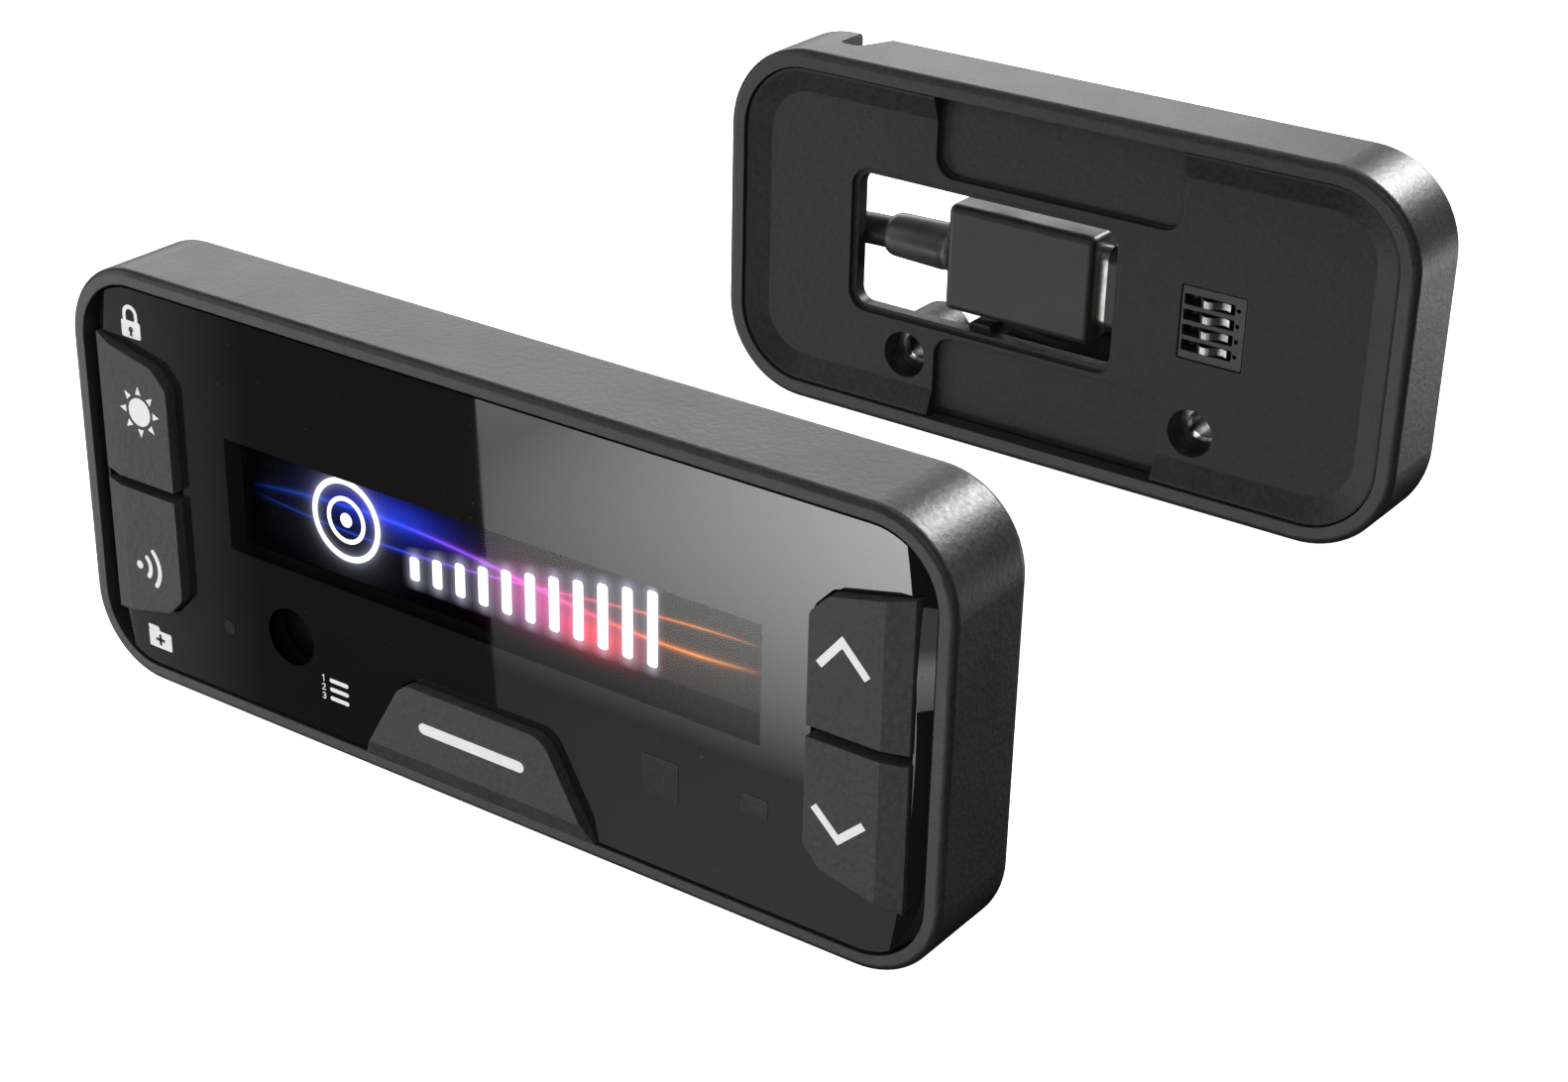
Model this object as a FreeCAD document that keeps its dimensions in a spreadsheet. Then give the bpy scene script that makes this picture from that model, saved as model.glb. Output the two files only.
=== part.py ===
# Radar detector for a car: a display head with five keys, and the wall dock it slides onto.
# Millimetres. X runs across the display, Y from the viewer to the wall, Z up.
# The origin is under the middle of head and dock, at the level that both stand on.
import math
import os

import FreeCAD
import Part
import Sketcher

V = FreeCAD.Vector

doc = FreeCAD.newDocument("RadarDetector")
NODES = {}

DIMENSIONS = [
    # the head's casing
    ("head_wide", 84.0), ("head_tall", 36.35), ("head_deep", 9.4), ("head_corner", 6.94),
    ("head_front", -45.4), ("head_rim", 1.3), ("head_wall", 2.0), ("rim_round", 0.55),
    ("back_round", 1.0), ("cover_thick", 1.4),
    # front lens
    ("lens_sunk", 0.15), ("lens_thick", 1.8), ("lens_gap", 0.25), ("lens_seat", 2.0),
    ("facet_reach", 39.3), ("facet_bow", 89.3), ("facet_deep", 1.0), ("facet_wide", 1.5),
    # keys
    ("key_proud", 0.75), ("key_edge_proud", 0.14), ("key_deep", 2.9), ("key_gap", 0.2),
    ("key_in", 30.86), ("key_out", 39.0), ("key_facet", 37.0), ("key_split", 0.45),
    ("key_high", 12.25), ("key_shoulder", 10.8), ("key_shoulder_in", 32.4), ("key_neck", 9.2),
    ("key_round", 0.9), ("flange_grow", 0.5), ("flange_deep", 0.6), ("flange_back", 2.05),
    ("plunger_r", 1.2), ("plunger_end", 3.65), ("centre_plunger_z", 12.0),
    ("bar_top", 8.95), ("bar_top_half", 6.4), ("bar_chamfer_z", 9.6), ("bar_chamfer_half", 7.4),
    ("bar_low", 16.8), ("bar_low_half", 11.55), ("bar_facet_z", 15.2),
    ("bar_relief_y", 1.6), ("bar_relief_z", 15.7), ("flange_top_half", 7.0), ("flange_top_z", 8.5),
    ("flange_low_half", 11.6),
    # inside the head
    ("bezel_y", 2.02), ("bezel_thick", 0.9), ("oled_x", 0.4), ("oled_z", 1.6),
    ("oled_wide", 57.0), ("oled_tall", 13.4), ("oled_thick", 1.3), ("lit_wide", 52.0),
    ("lit_tall", 9.6), ("lit_thick", 0.25), ("lit_y", 2.05), ("flex_x", 3.0), ("flex_wide", 11.0),
    ("sensor_x", -19.5), ("sensor_z", 9.2), ("sensor_hole_r", 2.6), ("bezel_bar_half", 7.4),
    ("bezel_bar_low", 12.6), ("bezel_bar_z", 8.1),
    ("switch_y", 4.1), ("board_y", 4.8), ("board_thick", 1.0), ("board_wide", 78.0), ("board_tall", 29.0),
    ("post_x", 33.0), ("post_z", 14.6), ("post_r", 1.7), ("post_bore", 0.65), ("cover_y", 8.0),
    ("plateau_wide", 65.6), ("plateau_tall", 27.9), ("plateau_round", 4.8), ("plateau_proud", 0.8),
    ("pad_wide", 25.8), ("pad_in", 8.6), ("pad_out", 13.9), ("pad_proud", 0.7), ("pad_round", 1.8),
    ("lower_pad_wide", 24.4), ("contact_x", 16.9), ("contact_pitch", 1.5), ("contact_r", 0.55),
    # dock
    ("dock_wide", 74.1), ("dock_tall", 36.35), ("dock_deep", 8.8), ("dock_corner", 9.0),
    ("dock_front", 37.35), ("dock_rim", 1.75), ("dock_wall", 2.05), ("dock_round", 0.7),
    ("ledge_y", 3.0), ("plate_gap", 0.15), ("plate_y", 0.3), ("plate_back", 2.95),
    ("slope_in", 2.5), ("floor_y", 1.1), ("pocket_y", 1.9), ("pocket_round", 2.0),
    ("top_pocket_half", 13.35), ("top_pocket_z", 8.26), ("low_pocket_half", 12.6), ("low_pocket_z", 7.95),
    ("window_x", -7.8), ("window_wide", 29.0), ("window_tall", 13.6), ("window_round", 1.4),
    ("window_step", 0.6), ("window_step_deep", 0.5),
    ("screw_x", 16.0), ("screw_z", 10.86), ("sink_r", 2.35), ("sink_y", 3.6), ("screw_hole_r", 1.5),
    ("ring_r", 2.3), ("ring_thick", 0.8), ("boss_r", 3.4), ("boss_y", 8.5),
    ("notch_x", -25.0), ("notch_wide", 4.6), ("notch_y", 4.4),
    ("block_x", 13.96), ("block_wide", 6.55), ("block_tall", 7.1), ("block_y", 1.2), ("block_back", 6.3),
    ("nose_y", 0.6), ("slot_wide", 1.05), ("slot_floor", 2.72),
    ("spring_wide", 0.7), ("spring_thick", 0.16),
    ("dock_board_y", 6.35), ("dock_board_x", 5.2), ("board_screw_x", 25.0), ("board_screw_z", 5.0),
    ("standoff_r", 1.6), ("board_screw_r", 0.75), ("board_screw_cap", 1.3), ("board_cap_thick", 0.7),
    ("dock_board_wide", 23.6), ("dock_board_tall", 14.4),
    ("clip_in", 4.0), ("clip_out", 13.0), ("clip_hidden", 1.1), ("clip_shown", 0.35),
    ("clip_wide", 2.4), ("clip_tall", 2.0), ("clip_round", 0.3), ("clip_deep", 4.0),
    ("keeper_wide", 20.0), ("keeper_tall", 5.2), ("keeper_thick", 1.2), ("keeper_z", 12.6),
    # plug, socket and cord
    ("plug_x", -12.3), ("plug_long", 16.2), ("plug_tall", 10.86), ("plug_thick", 5.4), ("plug_y", 2.0),
    ("plug_round", 0.8), ("tip_tall", 8.25), ("tip_thick", 2.4), ("tip_long", 6.65),
    ("socket_x", 4.95), ("socket_long", 7.35), ("socket_tall", 8.94), ("socket_thick", 3.16),
    ("socket_wall", 0.3), ("relief_long", 7.85), ("relief_r1", 2.15), ("relief_r2", 2.4),
    ("cord_dia", 3.2), ("coil_x", -2.0), ("coil_back", 35.0), ("coil_r", 21.4), ("coil_columns", 3),
    ("coil_layers", 4), ("tie_thick", 0.4), ("tie_wide", 6.0),
]


class Dim:
    """A length that knows its value now and the sheet expression that it comes from."""

    def __init__(self, value, text):
        self.value = value
        self.text = text

    def __add__(self, other):
        return Dim(self.value + number(other), f"({self.text} + {text(other)})")

    def __radd__(self, other):
        return Dim(number(other) + self.value, f"({text(other)} + {self.text})")

    def __sub__(self, other):
        return Dim(self.value - number(other), f"({self.text} - {text(other)})")

    def __rsub__(self, other):
        return Dim(number(other) - self.value, f"({text(other)} - {self.text})")

    def __mul__(self, other):
        return Dim(self.value * number(other), f"({self.text} * {text(other)})")

    def __rmul__(self, other):
        return self * other

    def __truediv__(self, other):
        return Dim(self.value / number(other), f"({self.text} / {text(other)})")

    def __neg__(self):
        return self * -1


def number(item):
    return item.value if isinstance(item, Dim) else float(item)


def fixed(value):
    """A length of its own, which follows from no other."""
    return Dim(float(value), f"({value:g})")


def text(item):
    return item.text if isinstance(item, Dim) else f"({float(item):.6g})"


class Sheet:
    """The spreadsheet of driving dimensions; sheet.name gives that cell as a Dim."""

    def __init__(self, rows):
        self.table = doc.addObject("Spreadsheet::Sheet", "dims")
        self.values = {}
        for index, (alias, value) in enumerate(rows, start=1):
            self.table.set(f"A{index}", alias)
            self.table.set(f"B{index}", str(value))
            self.table.setAlias(f"B{index}", alias)
            self.values[alias] = float(value)
        doc.recompute()

    def __getattr__(self, alias):
        return Dim(self.values[alias], f"dims.{alias}")


d = Sheet(DIMENSIONS)
ZERO = fixed(0)
MID = d.head_tall / 2
HEAD = d.head_front
DOCK = d.dock_front


def bind(item, path, size):
    """Bind one property of an object to the sheet."""
    item.setExpression(path, text(size))


def keep(item, node):
    """Register an object as the node that is exported under this name."""
    item.Label = node
    NODES[node] = item
    return item


# ---------------------------------------------------------------- sketches

def new_sketch(body, name, role, offset):
    """A sketch on one of the body's origin planes, moved along +Y (XZ), +X (YZ) or +Z (XY)."""
    plane = [f for f in body.Origin.OriginFeatures if f.Role == role][0]
    sketch = body.newObject("Sketcher::SketchObject", name)
    sketch.AttachmentSupport = [(plane, "")]
    sketch.MapMode = "FlatFace"
    sign = -1 if role == "XZ_Plane" else 1
    bind(sketch, "AttachmentOffset.Base.z", offset * sign)
    return sketch


def limit(sketch, kind, *args):
    """Add a dimension constraint whose last argument is a Dim or a number."""
    index = sketch.addConstraint(Sketcher.Constraint(kind, *args[:-1], abs(number(args[-1]))))
    sign = -1 if number(args[-1]) < 0 else 1
    sketch.setExpression(f"Constraints[{index}]", text(args[-1] * sign))
    return index


def relate(sketch, kind, *args):
    sketch.addConstraint(Sketcher.Constraint(kind, *args))


def pin_point(sketch, geo, point, x, y):
    """Fix a point of the sketch at x, y from its origin."""
    for kind, size in (("DistanceX", x), ("DistanceY", y)):
        if abs(number(size)) < 1e-9:
            relate(sketch, "PointOnObject", geo, point, -2 if kind == "DistanceX" else -1)
        elif number(size) > 0:
            limit(sketch, kind, -1, 1, geo, point, size)
        else:
            limit(sketch, kind, geo, point, -1, 1, size)


def draw_poly(sketch, points):
    """A closed outline of straight lines through points of Dims."""
    flat = [V(number(x), number(y), 0) for x, y in points]
    count = len(points)
    first = sketch.GeometryCount
    for i in range(count):
        sketch.addGeometry(Part.LineSegment(flat[i], flat[(i + 1) % count]), False)
    for i in range(count):
        relate(sketch, "Coincident", first + i, 2, first + (i + 1) % count, 1)
    for i, (x, y) in enumerate(points):
        pin_point(sketch, first + i, 1, x, y)


def draw_circle(sketch, x, y, radius):
    circle = Part.Circle(V(number(x), number(y), 0), V(0, 0, 1), number(radius))
    index = sketch.addGeometry(circle, False)
    limit(sketch, "Radius", index, radius)
    pin_point(sketch, index, 3, x, y)


def draw_round(sketch, x, y, wide, tall, corner):
    """A rectangle with round corners, centred at x, y."""
    half_w, half_t, radius = number(wide) / 2, number(tall) / 2, number(corner)
    cx, cy = number(x), number(y)
    first = sketch.GeometryCount
    centres = []
    for sx, sy, start in ((1, 1, 0), (-1, 1, 90), (-1, -1, 180), (1, -1, 270)):
        centre = V(cx + sx * (half_w - radius), cy + sy * (half_t - radius), 0)
        centres.append(centre)
        arc = Part.ArcOfCircle(Part.Circle(centre, V(0, 0, 1), radius),
                               math.radians(start), math.radians(start + 90))
        sketch.addGeometry(arc, False)
    for i, turn in enumerate((90, 180, 270, 360)):
        out = V(math.cos(math.radians(turn)), math.sin(math.radians(turn)), 0) * radius
        line = Part.LineSegment(centres[i] + out, centres[(i + 1) % 4] + out)
        sketch.addGeometry(line, False)
    for i in range(4):
        relate(sketch, "Tangent", first + i, 2, first + 4 + i, 1)
        relate(sketch, "Tangent", first + 4 + i, 2, first + (i + 1) % 4, 1)
        relate(sketch, "Horizontal" if i in (0, 2) else "Vertical", first + 4 + i)
    for i in range(1, 4):
        relate(sketch, "Equal", first, first + i)
    limit(sketch, "Radius", first, corner)
    pin_point(sketch, first, 3, x + wide / 2 - corner, y + tall / 2 - corner)
    pin_point(sketch, first + 2, 3, x - wide / 2 + corner, y - tall / 2 + corner)


# ---------------------------------------------------------------- features

def new_body(name):
    return doc.addObject("PartDesign::Body", name)


def pad(body, name, draw, start, depth, role="XZ_Plane"):
    """Pad what draw() puts on a plane at start, towards +Y (XZ), +X (YZ) or +Z (XY)."""
    sketch = new_sketch(body, name + "_sketch", role, start)
    draw(sketch)
    feature = body.newObject("PartDesign::Pad", name)
    feature.Profile = sketch
    feature.Reversed = role == "XZ_Plane"
    bind(feature, "Length", depth)
    doc.recompute()
    return feature


def pocket(body, name, draw, start, depth, role="XZ_Plane"):
    """Cut what draw() puts on a plane at start, over depth in the plane's plus direction."""
    before = body.Shape.Volume
    sketch = new_sketch(body, name + "_sketch", role, start)
    draw(sketch)
    feature = body.newObject("PartDesign::Pocket", name)
    feature.Profile = sketch
    feature.Reversed = role != "XZ_Plane"
    bind(feature, "Length", depth)
    doc.recompute()
    if body.Shape.Volume > before - 1e-4:
        raise RuntimeError(name + " cuts nothing")
    return feature


def edges_where(shape, test):
    """Names of the edges whose middle point passes the test."""
    names = []
    for i, edge in enumerate(shape.Edges, start=1):
        middle = edge.valueAt((edge.FirstParameter + edge.LastParameter) / 2)
        if test(edge, middle):
            names.append(f"Edge{i}")
    return names


def fillet(body, name, radius, test):
    base = body.Tip
    names = edges_where(base.Shape, test)
    feature = body.newObject("PartDesign::Fillet", name)
    feature.Base = (base, names)
    bind(feature, "Radius", radius)
    doc.recompute()
    return feature


def at_y(level, tolerance=0.01):
    return lambda edge, middle: all(abs(v.Point.y - number(level)) < tolerance for v in edge.Vertexes)


def along(edge, axis):
    """True for a straight edge that runs along the axis."""
    if len(edge.Vertexes) != 2:
        return False
    run = edge.Vertexes[1].Point - edge.Vertexes[0].Point
    return run.Length > 1e-6 and abs(abs(run.dot(axis)) / run.Length - 1) < 1e-6


def slab(name, low, size, node=None):
    """A Part::Box from its lowest corner and its size, all bound to the sheet."""
    item = doc.addObject("Part::Box", name)
    for path, value in zip(("Length", "Width", "Height"), size):
        bind(item, path, value)
    for path, value in zip("xyz", low):
        bind(item, "Placement.Base." + path, value)
    return keep(item, node) if node else item


def rod(name, base, radius, length, axis="y", node=None, tip=None):
    """A Part::Cylinder, or a Part::Cone with a tip radius, along Y, X or Z."""
    item = doc.addObject("Part::Cone" if tip else "Part::Cylinder", name)
    turns = {"y": ("Placement.Rotation.Angle", V(1, 0, 0), -90), "x": ("", V(0, 1, 0), 90)}
    if axis in turns:
        item.Placement.Rotation = FreeCAD.Rotation(turns[axis][1], turns[axis][2])
    bind(item, "Height", length)
    if tip:
        bind(item, "Radius1", radius)
        bind(item, "Radius2", tip)
    else:
        bind(item, "Radius", radius)
    for path, value in zip("xyz", base):
        bind(item, "Placement.Base." + path, value)
    return keep(item, node) if node else item


def group(node, pieces):
    """Separate solids, or one joined solid where they touch, exported as one node."""
    item = doc.addObject("Part::Compound", node)
    item.Links = pieces
    return keep(item, node)


def combine(kind, name, base, tools, node=None):
    """Part::MultiFuse, Part::MultiCommon or a chain of Part::Cut."""
    if kind != "Part::Cut":
        item = doc.addObject(kind, name)
        item.Shapes = [base] + tools
    else:
        for i, tool in enumerate(tools):
            item = doc.addObject("Part::Cut", f"{name}_{i}")
            item.Base = base
            item.Tool = tool
            base = item
    return keep(item, node) if node else item


# ---------------------------------------------------------------- head: casing

def make_head_housing():
    body = new_body("head_housing")
    wide, tall, corner = d.head_wide, d.head_tall, d.head_corner

    def inset(amount):
        return lambda s: draw_round(s, ZERO, MID, wide - amount * 2, tall - amount * 2, corner - amount)

    pad(body, "casing", inset(ZERO), HEAD, d.head_deep)
    fillet(body, "rim_fillet", d.rim_round, at_y(HEAD))
    fillet(body, "back_fillet", d.back_round, at_y(HEAD + d.head_deep))
    pocket(body, "lens_recess", inset(d.head_rim), HEAD, d.lens_seat)
    pocket(body, "cavity", inset(d.head_wall), HEAD, d.head_deep)
    pocket(body, "cover_rebate", inset(d.head_rim), HEAD + d.cover_y, d.cover_thick)

    def post(radius):
        def draw(sketch):
            for sx in (-1, 1):
                for sz in (-1, 1):
                    draw_circle(sketch, d.post_x * sx, MID + d.post_z * sz, radius)
        return draw

    pad(body, "posts", post(d.post_r), HEAD + 3.1, d.cover_y - 3.1)
    pocket(body, "pilot_holes", post(d.post_bore), HEAD + 4.0, d.cover_y - 4.0)
    return keep(body, "head_housing")


def key_outline(side, level, grow=0.0):
    """Outline of one key of a pair; side and level are -1 or +1, grow widens it all round."""
    def spot(x, z):
        return (x * side, MID + z * level)
    return [
        spot(d.key_in - grow, d.key_split - grow * 0.5),
        spot(d.key_out + grow * 0.5, d.key_split - grow * 0.5),
        spot(d.key_out + grow * 0.5, d.key_high + grow),
        spot(d.key_shoulder_in - grow * 0.6, d.key_shoulder + grow),
        spot(d.key_in - grow, d.key_neck + grow * 0.5),
    ]


def pair_outline(side):
    """The lens opening around a pair of keys."""
    upper = key_outline(side, 1, d.key_gap)
    lower = key_outline(side, -1, d.key_gap)
    return [upper[2], upper[3], upper[4], lower[4], lower[3], lower[2]]


def bar_outline(grow=0.0):
    """Outline of the centre key, open towards the rim below."""
    half = [(d.bar_top_half, d.bar_top), (d.bar_chamfer_half + grow, d.bar_chamfer_z),
            (d.bar_low_half + grow * 1.2, d.bar_low)]
    right = [(x, MID - z + (grow if i == 0 else 0)) for i, (x, z) in enumerate(half)]
    left = [(-x, z) for x, z in reversed(right)]
    return right + left


def make_front_lens():
    body = new_body("lens_blank")
    inset = d.head_rim + d.lens_gap
    front = HEAD + d.lens_sunk
    wide, tall = d.head_wide - inset * 2, d.head_tall - inset * 2
    pad(body, "lens_pad", lambda s: draw_round(s, ZERO, MID, wide, tall, d.head_corner - inset),
        front, d.lens_thick)
    for side, name in ((-1, "left"), (1, "right")):
        pocket(body, name + "_key_opening", lambda s: draw_poly(s, pair_outline(side)), front, d.lens_thick)

    def bar_cut(sketch):
        outline = bar_outline(d.key_gap)
        outline[2] = (outline[2][0] + 0.8, MID - d.head_tall / 2)
        outline[3] = (-outline[2][0], outline[2][1])
        draw_poly(sketch, outline)

    pocket(body, "centre_key_opening", bar_cut, front, d.lens_thick)
    fillet(body, "opening_round", d.key_round + d.key_gap, lambda e, m: along(e, V(0, 1, 0))
           and d.key_in.value - 1 < abs(m.x) < d.key_shoulder_in.value + 1)
    cones = []
    for side, name in ((-1, "left"), (1, "right")):
        deep = d.lens_thick + 0.2
        grow = d.facet_wide / d.facet_deep
        cone = rod(name + "_facet", (d.facet_bow * -side + d.facet_reach * side, front - 0.1, MID),
                   d.facet_bow - grow * 0.1, deep, "y", tip=d.facet_bow + grow * (d.lens_thick + 0.1))
        cones.append(cone)
    return combine("Part::MultiCommon", "front_lens", body, cones, "front_lens")


# ---------------------------------------------------------------- head: keys

def make_side_key(node, side, level):
    body = new_body(node)
    front = HEAD - d.key_proud
    pad(body, node + "_cap", lambda s: draw_poly(s, key_outline(side, level)), front, d.key_deep)
    fillet(body, node + "_round", d.key_round, lambda e, m: along(e, V(0, 1, 0))
           and abs(abs(m.x) - d.key_out.value) > 0.1 and abs(m.z - MID.value) > 1)
    drop = d.key_proud - d.key_edge_proud
    wedge = [(d.key_facet * side, front), (d.key_out * side * 1.02, front - 0.01),
             (d.key_out * side * 1.02, front + drop * 1.4), (d.key_out * side, front + drop)]
    pocket(body, node + "_facet", lambda s: draw_poly(s, wedge), ZERO, d.head_tall, "XY_Plane")
    pad(body, node + "_flange", lambda s: draw_poly(s, key_outline(side, level, d.flange_grow)),
        HEAD + d.flange_back, d.flange_deep)
    start = HEAD + d.flange_back + d.flange_deep
    pad(body, node + "_plunger", lambda s: draw_circle(s, plunger_x(side), plunger_z(level), d.plunger_r),
        start - 0.05, HEAD + d.plunger_end - start + 0.05)
    return keep(body, node)


def plunger_x(side):
    return (d.key_in + d.key_out) / 2 * side


def plunger_z(level):
    return MID + d.key_high / 2 * level


def make_centre_key():
    body = new_body("centre_key")
    front = HEAD - d.key_proud
    pad(body, "centre_cap", lambda s: draw_poly(s, bar_outline()), front, d.key_deep)
    fillet(body, "centre_round", d.key_round * 1.6, lambda e, m: along(e, V(0, 1, 0))
           and m.z > MID.value - d.bar_facet_z.value)
    drop = d.key_proud - d.key_edge_proud
    wedge = [(front, MID - d.bar_facet_z), (front + drop, MID - d.bar_low),
             (front + drop * 1.4, MID - d.bar_low - 0.4), (front - 0.01, MID - d.bar_low - 0.4)]
    pocket(body, "centre_facet", lambda s: draw_poly(s, wedge), -d.head_wide / 2, d.head_wide, "YZ_Plane")

    low, high = MID - d.bar_low - 0.4, MID - d.bar_relief_z
    near, far = HEAD + d.bar_relief_y, HEAD + d.key_deep
    relief = [(near, low), (far, low), (far, high), (near, high)]
    pocket(body, "centre_relief", lambda s: draw_poly(s, relief), -d.head_wide / 2, d.head_wide, "YZ_Plane")

    def flange(sketch):
        top, foot = MID - d.flange_top_z, MID - d.bar_relief_z
        draw_poly(sketch, [(d.flange_top_half, top), (d.flange_low_half, foot),
                           (-d.flange_low_half, foot), (-d.flange_top_half, top)])

    pad(body, "centre_flange", flange, HEAD + d.flange_back, d.flange_deep)
    start = HEAD + d.flange_back + d.flange_deep
    pad(body, "centre_plunger", lambda s: draw_circle(s, ZERO, MID - d.centre_plunger_z, d.plunger_r),
        start - 0.05, HEAD + d.plunger_end - start + 0.05)
    return keep(body, "centre_key")


# ---------------------------------------------------------------- head: inside

def make_bezel():
    body = new_body("inner_bezel")
    start = HEAD + d.bezel_y
    wide, tall = d.head_wide - d.head_wall * 2 - 0.3, d.head_tall - d.head_wall * 2 - 0.3
    pad(body, "bezel_plate", lambda s: draw_round(s, ZERO, MID, wide, tall, d.head_corner - d.head_wall),
        start, d.bezel_thick)
    screen = (d.oled_x, MID + d.oled_z, d.oled_wide + 0.4, d.oled_tall + 0.4, fixed(0.5))
    pocket(body, "screen_opening", lambda s: draw_round(s, *screen), start, d.bezel_thick)
    grow = d.flange_grow + 0.3
    for side, name in ((-1, "left"), (1, "right")):
        upper, lower = key_outline(side, 1, grow), key_outline(side, -1, grow)
        outline = [upper[2], upper[3], upper[4], lower[4], lower[3], lower[2]]
        pocket(body, name + "_flange_opening", lambda s: draw_poly(s, outline), start, d.bezel_thick)
    low = MID - tall / 2 - 1

    def bar(sketch):
        top = MID - d.bezel_bar_z
        draw_poly(sketch, [(d.bezel_bar_half, top), (d.bezel_bar_low, low),
                           (-d.bezel_bar_low, low), (-d.bezel_bar_half, top)])

    pocket(body, "centre_flange_opening", bar, start, d.bezel_thick)
    pocket(body, "sensor_opening", lambda s: draw_circle(s, d.sensor_x, MID - d.sensor_z, d.sensor_hole_r),
           start, d.bezel_thick)
    return keep(body, "inner_bezel")


def make_screen():
    glass_y = HEAD + d.lit_y + d.lit_thick
    slab("oled_glass", (d.oled_x - d.oled_wide / 2, glass_y, MID + d.oled_z - d.oled_tall / 2),
         (d.oled_wide, d.oled_thick, d.oled_tall), "oled_glass")
    slab("oled_screen", (d.oled_x - d.lit_wide / 2, HEAD + d.lit_y, MID + d.oled_z - d.lit_tall / 2),
         (d.lit_wide, d.lit_thick, d.lit_tall), "oled_screen")
    body = new_body("oled_flex")
    near, far = glass_y + d.oled_thick, HEAD + d.board_y
    top = MID - 2.0
    ribbon = [(near, top), (near, top - 5), (far - 0.2, top - 7), (far - 0.2, top - 11),
              (far, top - 11), (far, top - 6.8), (near + 0.2, top - 4.8), (near + 0.2, top)]
    pad(body, "ribbon", lambda s: draw_poly(s, ribbon), d.flex_x, d.flex_wide, "YZ_Plane")
    keep(body, "oled_flex")


def make_board():
    body = new_body("main_board")
    start = HEAD + d.board_y
    pad(body, "board", lambda s: draw_round(s, ZERO, MID, d.board_wide, d.board_tall, fixed(3)),
        start, d.board_thick)

    def holes(sketch):
        for sx in (-1, 1):
            for sz in (-1, 1):
                draw_circle(sketch, d.post_x * sx, MID + d.post_z * sz, d.post_r + 0.2)

    pocket(body, "post_holes", holes, start, d.board_thick)
    return keep(body, "main_board")


def make_board_parts():
    """Tact switches in front of the board; chips, buzzer and sensor on it."""
    front, back = HEAD + d.board_y, HEAD + d.board_y + d.board_thick
    spots = [(plunger_x(side), plunger_z(level)) for side in (-1, 1) for level in (-1, 1)]
    spots.append((ZERO, MID - d.centre_plunger_z))
    bases = []
    for i, (x, z) in enumerate(spots):
        base = slab(f"switch_base_{i}", (x - 1.6, HEAD + d.switch_y + 0.2, z - 1.4),
                    (fixed(3.2), front - (HEAD + d.switch_y + 0.2), fixed(2.8)))
        dome = rod(f"switch_dome_{i}", (x, HEAD + d.switch_y, z), fixed(1), fixed(0.3))
        bases.append(combine("Part::MultiFuse", f"switch_{i}", base, [dome]))
    group("tact_switches", bases)
    slab("processor_chip", (fixed(-12), back, MID - 4), (fixed(9), fixed(0.9), fixed(9)),
         "processor_chip")
    chips = []
    for x, z, wide, tall in ((-24.0, -3.0, 6.0, 5.0), (3.0, -9.0, 5.0, 4.0), (3.0, 3.0, 4.0, 4.0)):
        size = (fixed(wide), fixed(0.8), fixed(tall))
        chips.append(slab(f"chip_{len(chips)}", (fixed(x), back, MID + z), size))
    group("small_chips", chips)
    rod("buzzer", (fixed(26.5), back, MID + 5), fixed(3.6), fixed(2), "y", "buzzer")
    slab("light_sensor", (fixed(-20.7), front - 1.1, MID - 10.4),
         (fixed(2.4), fixed(1.1), fixed(2.4)), "light_sensor")


def make_rear_cover():
    body = new_body("rear_cover")
    inset = d.head_rim + 0.1
    start = HEAD + d.cover_y
    pad(body, "cover_plate", lambda s: draw_round(s, ZERO, MID, d.head_wide - inset * 2,
        d.head_tall - inset * 2, d.head_corner - inset), start, d.cover_thick)
    back = start + d.cover_thick
    pad(body, "plateau", lambda s: draw_round(s, ZERO, MID, d.plateau_wide, d.plateau_tall,
        d.plateau_round), back - 0.1, d.plateau_proud + 0.1)
    fillet(body, "plateau_round_edge", fixed(0.3), at_y(back + d.plateau_proud))
    top = back + d.plateau_proud
    for level, wide, name in ((1, d.pad_wide, "upper"), (-1, d.lower_pad_wide, "lower")):
        middle = MID + (d.pad_in + d.pad_out) / 2 * level
        pad(body, name + "_pad", lambda s: draw_round(s, ZERO, middle, wide, d.pad_out - d.pad_in,
            d.pad_round), top - 0.1, d.pad_proud + 0.1)

    def circles(radius):
        def draw(sketch):
            for sx in (-1, 1):
                for sz in (-1, 1):
                    draw_circle(sketch, d.post_x * sx, MID + d.post_z * sz, radius)
        return draw

    pocket(body, "screw_holes", circles(fixed(0.8)), start, d.cover_thick)
    pocket(body, "screw_sinks", circles(fixed(1.45)), back - 0.7, fixed(0.7))

    def contact_holes(sketch):
        for i in range(4):
            draw_circle(sketch, d.contact_x, contact_z(i), d.contact_r)

    pocket(body, "contact_holes", contact_holes, start, d.cover_thick + d.plateau_proud)
    return keep(body, "rear_cover")


def contact_z(i):
    return MID + d.contact_pitch * (i - 1.5)


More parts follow.
